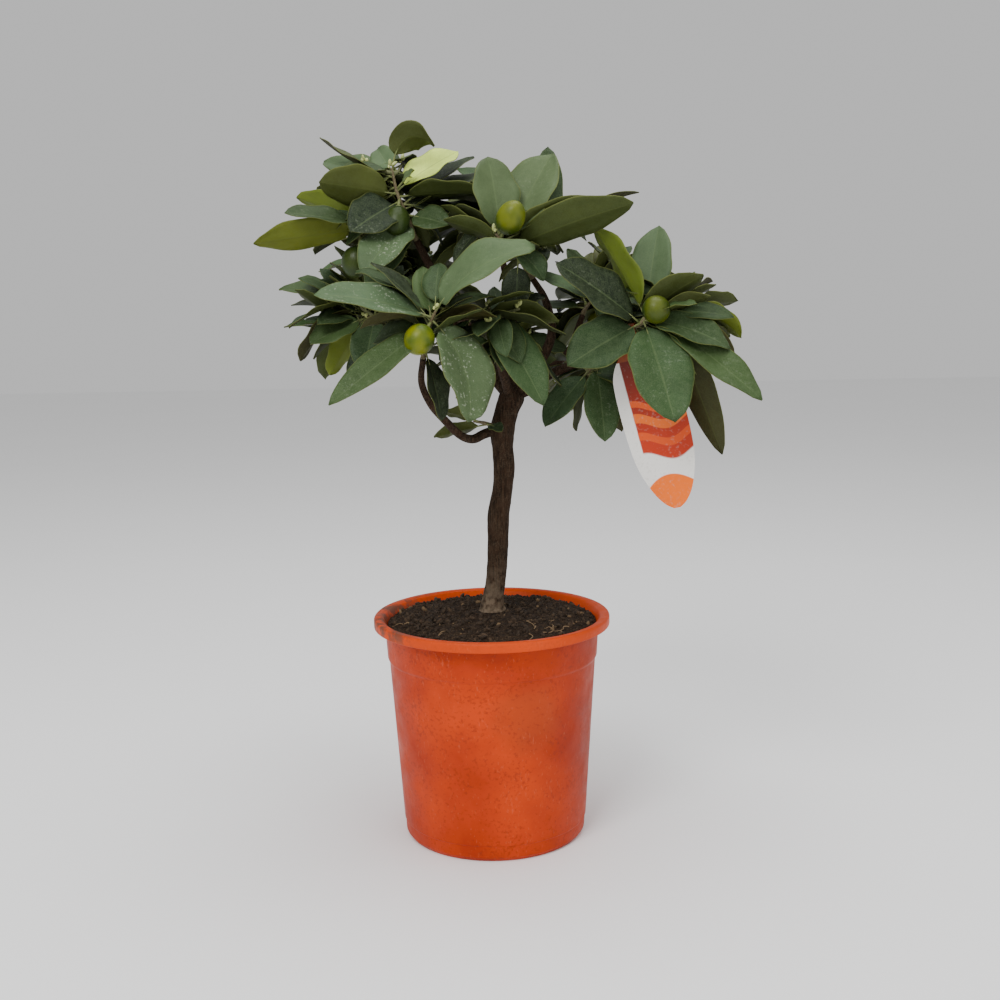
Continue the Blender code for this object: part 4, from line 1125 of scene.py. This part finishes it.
def speckle_group():
    """Scattered fine marks: how many there are, their scale, and a soft height to go with them."""
    tree = bpy.data.node_groups.new("scattered_marks", "ShaderNodeTree")
    for name, kind in (("Place", "NodeSocketVector"), ("Scale", "NodeSocketFloat"), ("Amount", "NodeSocketFloat")):
        tree.interface.new_socket(name, in_out="INPUT", socket_type=kind)
    for name in ("Mask", "Height"):
        tree.interface.new_socket(name, in_out="OUTPUT", socket_type="NodeSocketFloat")
    paint = Paint(tree)
    given = tree.nodes.new("NodeGroupInput").outputs
    fine = paint.noise(given["Place"], given["Scale"], 2.0)
    broad = paint.noise(given["Place"], paint.times(given["Scale"], 0.12), 2.0)
    level = paint.math("SUBTRACT", 0.78, paint.times(given["Amount"], 0.3))
    mixed = paint.plus(paint.times(fine, 0.72), paint.times(broad, 0.28))
    mask = paint.span(mixed, paint.math("SUBTRACT", level, 0.12), level)
    out = tree.nodes.new("NodeGroupOutput")
    tree.links.new(mask, out.inputs["Mask"])
    tree.links.new(mixed, out.inputs["Height"])
    return tree


def start_material(name, roughness, specular=0.4):
    """A new material with its paint and its place on the object."""
    material = bpy.data.materials.new(name)
    material.use_nodes = True
    shader = material.node_tree.nodes["Principled BSDF"]
    shader.inputs["Roughness"].default_value = roughness
    shader.inputs["Specular IOR Level"].default_value = specular
    paint = Paint(material.node_tree)
    return material, paint, paint.node("TexCoord").outputs["Object"]


def leaf_material(name, marks, under):
    """A leaf's upper or under side: its tint, which holds the leaf's painted light or shade, with veins, dust, a
    pale margin and, above, pale flecks.
    """
    material, paint, place = start_material(name, 0.62, 0.16)
    tint = paint.tint()
    across, along, _ = paint.uv()
    aside = paint.math("ABSOLUTE", paint.math("SUBTRACT", across, 0.5))
    midrib = paint.span(aside, 0.008, 0.030, 1.0, 0.0)
    slant = paint.math("SUBTRACT", paint.times(along, 12.0), paint.times(aside, 5.0))
    saw = paint.math("ABSOLUTE", paint.math("SUBTRACT", paint.math("FRACT", slant), 0.5))
    veins = paint.math("MAXIMUM", midrib, paint.times(paint.span(saw, 0.43, 0.5), 0.38))
    broad = paint.mix(paint.noise(place, 38.0), (0.62, 0.62, 0.60), (1.42, 1.38, 1.45))
    color = paint.mix(1.0, tint["Color"], broad, "MULTIPLY")
    vein_tone = (0.075, 0.095, 0.018) if under else (0.105, 0.150, 0.060)
    color = paint.over(color, vein_tone, veins, 0.30 if under else 0.34)
    dust, dust_height = paint.marks(marks, place, 1500.0, 0.75)
    color = paint.over(color, (0.17, 0.22, 0.11), dust, 0.08 if under else 0.17)
    color = paint.over(color, (0.150, 0.170, 0.040), paint.span(aside, 0.472, 0.496), 0.55)
    if not under:
        flecks, _ = paint.marks(marks, place, 420.0, 0.30)
        color = paint.over(color, (0.46, 0.50, 0.38), flecks, tint["Alpha"])
    relief = paint.plus(paint.times(veins, 0.5 if under else -0.5), paint.times(dust_height, 0.35))
    paint.surface(color, relief, 0.45, 0.0006, paint.span(dust_height, 0.3, 0.7, 0.46, 0.72))
    return material


def tinted_material(name, marks, roughness, scale, pale, height_strength):
    """Twigs, buds and crumbs: the piece's own tint, broken up by fine marks."""
    material, paint, place = start_material(name, roughness)
    broad = paint.mix(paint.noise(place, scale * 0.2, 2.0), (0.6, 0.6, 0.6), (1.4, 1.4, 1.35))
    color = paint.mix(1.0, paint.tint()["Color"], broad, "MULTIPLY")
    fine, fine_height = paint.marks(marks, place, scale, 0.7)
    paint.surface(paint.over(color, pale, fine, 0.35), fine_height, height_strength, 0.0005)
    return material


def fruit_material(marks):
    """Kumquat skin: green turning yellow in patches, with oil pores."""
    material, paint, place = start_material("kumquat_skin", 0.40, 0.24)
    tint = paint.tint()
    color = paint.over(tint["Color"], (0.205, 0.220, 0.003),
                       paint.span(paint.noise(place, 46.0, 2.0), 0.36, 0.62), tint["Alpha"])
    cells = paint.node("TexVoronoi", {"Vector": place, "Scale": 620.0})
    pore = paint.span(cells.outputs["Distance"], 0.10, 0.34, 1.0, 0.0)
    color = paint.over(color, (0.09, 0.12, 0.012), pore, 0.10)
    fine, fine_height = paint.marks(marks, place, 900.0, 0.5)
    color = paint.over(color, (0.10, 0.13, 0.02), fine, 0.14)
    paint.surface(color, pore, 0.35, 0.0004, paint.span(fine_height, 0.3, 0.7, 0.32, 0.50))
    return material


def bark_material(marks):
    """Dark streaked bark, greyer close to the compost."""
    material, paint, place = start_material("stem_bark", 0.9, 0.12)
    streak = paint.noise(paint.stretched(place, (1.0, 1.0, 0.14)), 620.0, 4.0, 0.65)
    color = paint.mix(paint.span(streak, 0.36, 0.66), (0.008, 0.005, 0.003), (0.050, 0.028, 0.015))
    color = paint.mix(paint.span(paint.noise(place, 55.0), 0.45, 0.7, 0.0, 0.55), color, (0.040, 0.019, 0.010))
    low = paint.span(paint.axes(place)[2], 0.212, 0.262, 0.75, 0.0)
    color = paint.over(color, (0.23, 0.17, 0.115), low, paint.span(paint.noise(place, 150.0), 0.35, 0.6))
    fine, fine_height = paint.marks(marks, place, 900.0, 0.55)
    color = paint.over(color, (0.10, 0.075, 0.05), fine, 0.35)
    relief = paint.plus(streak, paint.times(fine_height, 0.4))
    paint.surface(color, relief, 0.75, 0.0012, paint.span(streak, 0.3, 0.7, 0.95, 0.74))
    return material


def pot_material(marks):
    """Orange-red moulded plastic with soiled and faded places, pale grit and scratches, painted shade down its right
    side and painted light on its lip.
    """
    material, paint, place = start_material("pot_plastic_scuffed", 0.48, 0.16)
    x, _, z = paint.axes(place)
    color = paint.mix(paint.span(paint.noise(place, 14.0, 4.0), 0.35, 0.68), (0.37, 0.024, 0.0003),
                      (0.58, 0.046, 0.0003))
    # Painted shade: the pot is darkened towards its right side, beyond x 20 mm
    color = paint.over(color, (0.20, 0.014, 0.0006), paint.span(x, 0.02, 0.085), 0.42)
    blotch = paint.node("VectorMath", {0: place, 1: FADED_SPOT}, operation="DISTANCE").outputs["Value"]
    ragged = paint.plus(blotch, paint.times(paint.noise(place, 48.0, 4.0), 0.03))
    color = paint.mix(paint.span(ragged, 0.034, 0.054, 0.42, 0.0), color, (0.38, 0.058, 0.012))
    grit, _ = paint.marks(marks, place, 340.0, 0.42)
    color = paint.over(color, (0.16, 0.020, 0.007), grit, 0.45)
    chalk, _ = paint.marks(marks, paint.stretched(place, (1.0, 1.0, 0.45)), 520.0, 0.24)
    color = paint.over(color, (0.62, 0.14, 0.06), chalk, 0.30)
    # Painted light: the lip above the collar is painted a brighter orange
    color = paint.over(color, (0.78, 0.080, 0.001), paint.span(z, 0.1985, 0.2010), 0.45)
    left_rim = paint.times(paint.span(x, -0.055, -0.085), paint.span(z, 0.196, 0.204))
    soiled = paint.times(left_rim, paint.span(paint.noise(place, 90.0, 4.0), 0.42, 0.56))
    color = paint.over(color, (0.09, 0.050, 0.030), soiled, 0.8)
    rings = paint.math("SINE", paint.times(z, 2600.0))
    relief = paint.plus(paint.times(rings, 0.05), paint.noise(place, 260.0))
    paint.surface(color, relief, 0.22, 0.0005, paint.span(paint.noise(place, 60.0, 4.0), 0.3, 0.7, 0.38, 0.58))
    return material


def soil_material(marks):
    """Dark moist compost with paler bits."""
    material, paint, place = start_material("moist_compost", 0.94, 0.2)
    coarse = paint.noise(place, 240.0, 5.0, 0.7)
    color = paint.mix(paint.span(coarse, 0.35, 0.68), (0.008, 0.005, 0.003), (0.050, 0.028, 0.015))
    bits, _ = paint.marks(marks, place, 560.0, 0.48)
    paint.surface(paint.over(color, (0.13, 0.085, 0.05), bits, 0.6), coarse, 1.0, 0.004)
    return material


def label_material(marks):
    """White plastic with plain waves of warm colour and an orange end."""
    material, paint, place = start_material("printed_label", 0.36, 0.25)
    across, along, _ = paint.uv()
    line = paint.plus(along, paint.times(paint.math("SINE", paint.times(across, 7.0)), 0.030))
    slope = paint.plus(along, paint.times(across, -0.35))
    panel = paint.times(paint.span(slope, -0.02, 0.0), paint.span(line, 0.690, 0.700, 1.0, 0.0))
    panel = paint.times(panel, paint.span(across, 0.20, 0.215))
    deep = paint.mix(paint.span(along, 0.10, 0.62), (0.10, 0.010, 0.004), (0.46, 0.028, 0.003))
    color = paint.mix(panel, (0.83, 0.81, 0.76), deep)
    for middle, width, tone in LABEL_WAVES:
        band = paint.math("ABSOLUTE", paint.math("SUBTRACT", line, middle))
        color = paint.over(color, tone, paint.span(band, width, width + 0.004, 1.0, 0.0), panel)
    curve = paint.times(paint.math("POWER", paint.math("SUBTRACT", across, 0.5), 2.0), -0.5)
    color = paint.mix(paint.span(paint.plus(along, curve), 0.800, 0.806), color, (0.88, 0.150, 0.001))
    color = paint.mix(paint.span(along, 0.155, 0.160, 1.0, 0.0), color, (0.24, 0.050, 0.010))
    scuff, scuff_height = paint.marks(marks, place, 380.0, 0.35)
    color = paint.over(color, (0.42, 0.38, 0.33), scuff, 0.25)
    paint.surface(color, scuff_height, 0.15, 0.0003, paint.span(scuff_height, 0.3, 0.7, 0.26, 0.42))
    return material


def area_light(name, place, target, size, power):
    """A square light aimed at a target, in metres and watts."""
    data = bpy.data.lights.new(name, "AREA")
    data.size = size
    data.energy = power
    lamp = bpy.data.objects.new(name, data)
    lamp.location = place
    lamp.rotation_euler = (Vector(target) - Vector(place)).to_track_quat("-Z", "Y").to_euler()
    bpy.context.scene.collection.objects.link(lamp)


def make_studio():
    """The pale floor and room, their lights and the photo's camera."""
    floor_material, paint, place = start_material("pale_floor", 0.9, 0.1)
    shader = floor_material.node_tree.nodes["Principled BSDF"]
    paint.feed(shader.inputs["Base Color"], paint.mix(paint.noise(place, 2.0), (0.90, 0.90, 0.90),
                                                      (0.93, 0.93, 0.93)))
    far = 6000
    floor = mesh_piece("studio_floor", [(-far, -far, 0), (far, -far, 0), (far, far, 0), (-far, far, 0)],
                       [(0, 1, 2, 3)], [floor_material])
    world = bpy.data.worlds.new("studio")
    bpy.context.scene.world = world
    world.use_nodes = True
    world.node_tree.nodes["Background"].inputs["Color"].default_value = (1, 1, 1, 1)
    world.node_tree.nodes["Background"].inputs["Strength"].default_value = ROOM_LIGHT
    area_light("key", (-0.7, -1.5, 1.9), (0, 0, 0.35), 0.9, 34)
    area_light("overhead", (0.2, 0.1, 2.3), (0, 0, 0.3), 1.6, 30)
    area_light("fill", (1.3, -1.4, 0.9), (0, 0, 0.3), 1.4, 9)
    camera = bpy.data.cameras.new("photo_view")
    camera.sensor_width = 36
    camera.lens = 36 * PHOTO_FOCAL / PHOTO_SIZE
    holder = bpy.data.objects.new("photo_view", camera)
    pitch, roll = math.radians(CAMERA_PITCH), math.radians(CAMERA_ROLL)
    ahead = Vector((0, math.cos(pitch), -math.sin(pitch)))
    up = Vector((0, math.sin(pitch), math.cos(pitch)))
    right = Vector((1, 0, 0))
    turned_right = right * math.cos(roll) + up * math.sin(roll)
    turned_up = up * math.cos(roll) - right * math.sin(roll)
    turn = Matrix((turned_right, turned_up, -ahead)).transposed()
    holder.matrix_world = Matrix.Translation(CAMERA_PLACE) @ turn.to_4x4()
    bpy.context.scene.collection.objects.link(holder)
    bpy.context.scene.camera = holder


def standing_solids():
    """The room that the limbs and the label already take, read from the frame."""
    taken = Taken()
    for name in ["trunk"] + [bough.name for bough in BOUGHS]:
        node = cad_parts[name]
        corners = [node.matrix_world @ vertex.co / MM for vertex in node.data.vertices]
        taken.add(name, (corners, [tuple(face.vertices) for face in node.data.polygons]))
    taken.add("label", label_solid())
    return taken


def main():
    """Makes the pot, compost, stem, label and crown, and lights them."""
    marks = speckle_group()
    make_studio()
    make_pot(pot_material(marks))
    crumb = tinted_material("compost_bits", marks, 0.95, 700.0, (0.09, 0.06, 0.035), 0.8)
    thread = tinted_material("root_thread", marks, 0.9, 500.0, (0.30, 0.20, 0.11), 0.4)
    make_soil(soil_material(marks), crumb, thread)
    make_bark(bark_material(marks))
    make_label(label_material(marks))
    taken = standing_solids()
    make_crown(plan_foliage(taken), taken, {
        "leaf": [leaf_material("leaf_upper", marks, False), leaf_material("leaf_under", marks, True)],
        "green_twigs": tinted_material("twig_skin", marks, 0.7, 800.0, (0.24, 0.22, 0.12), 0.5),
        "fruit": fruit_material(marks),
        "buds_and_calyxes": tinted_material("bud_skin", marks, 0.55, 900.0, (0.55, 0.58, 0.28), 0.3),
    })


main()
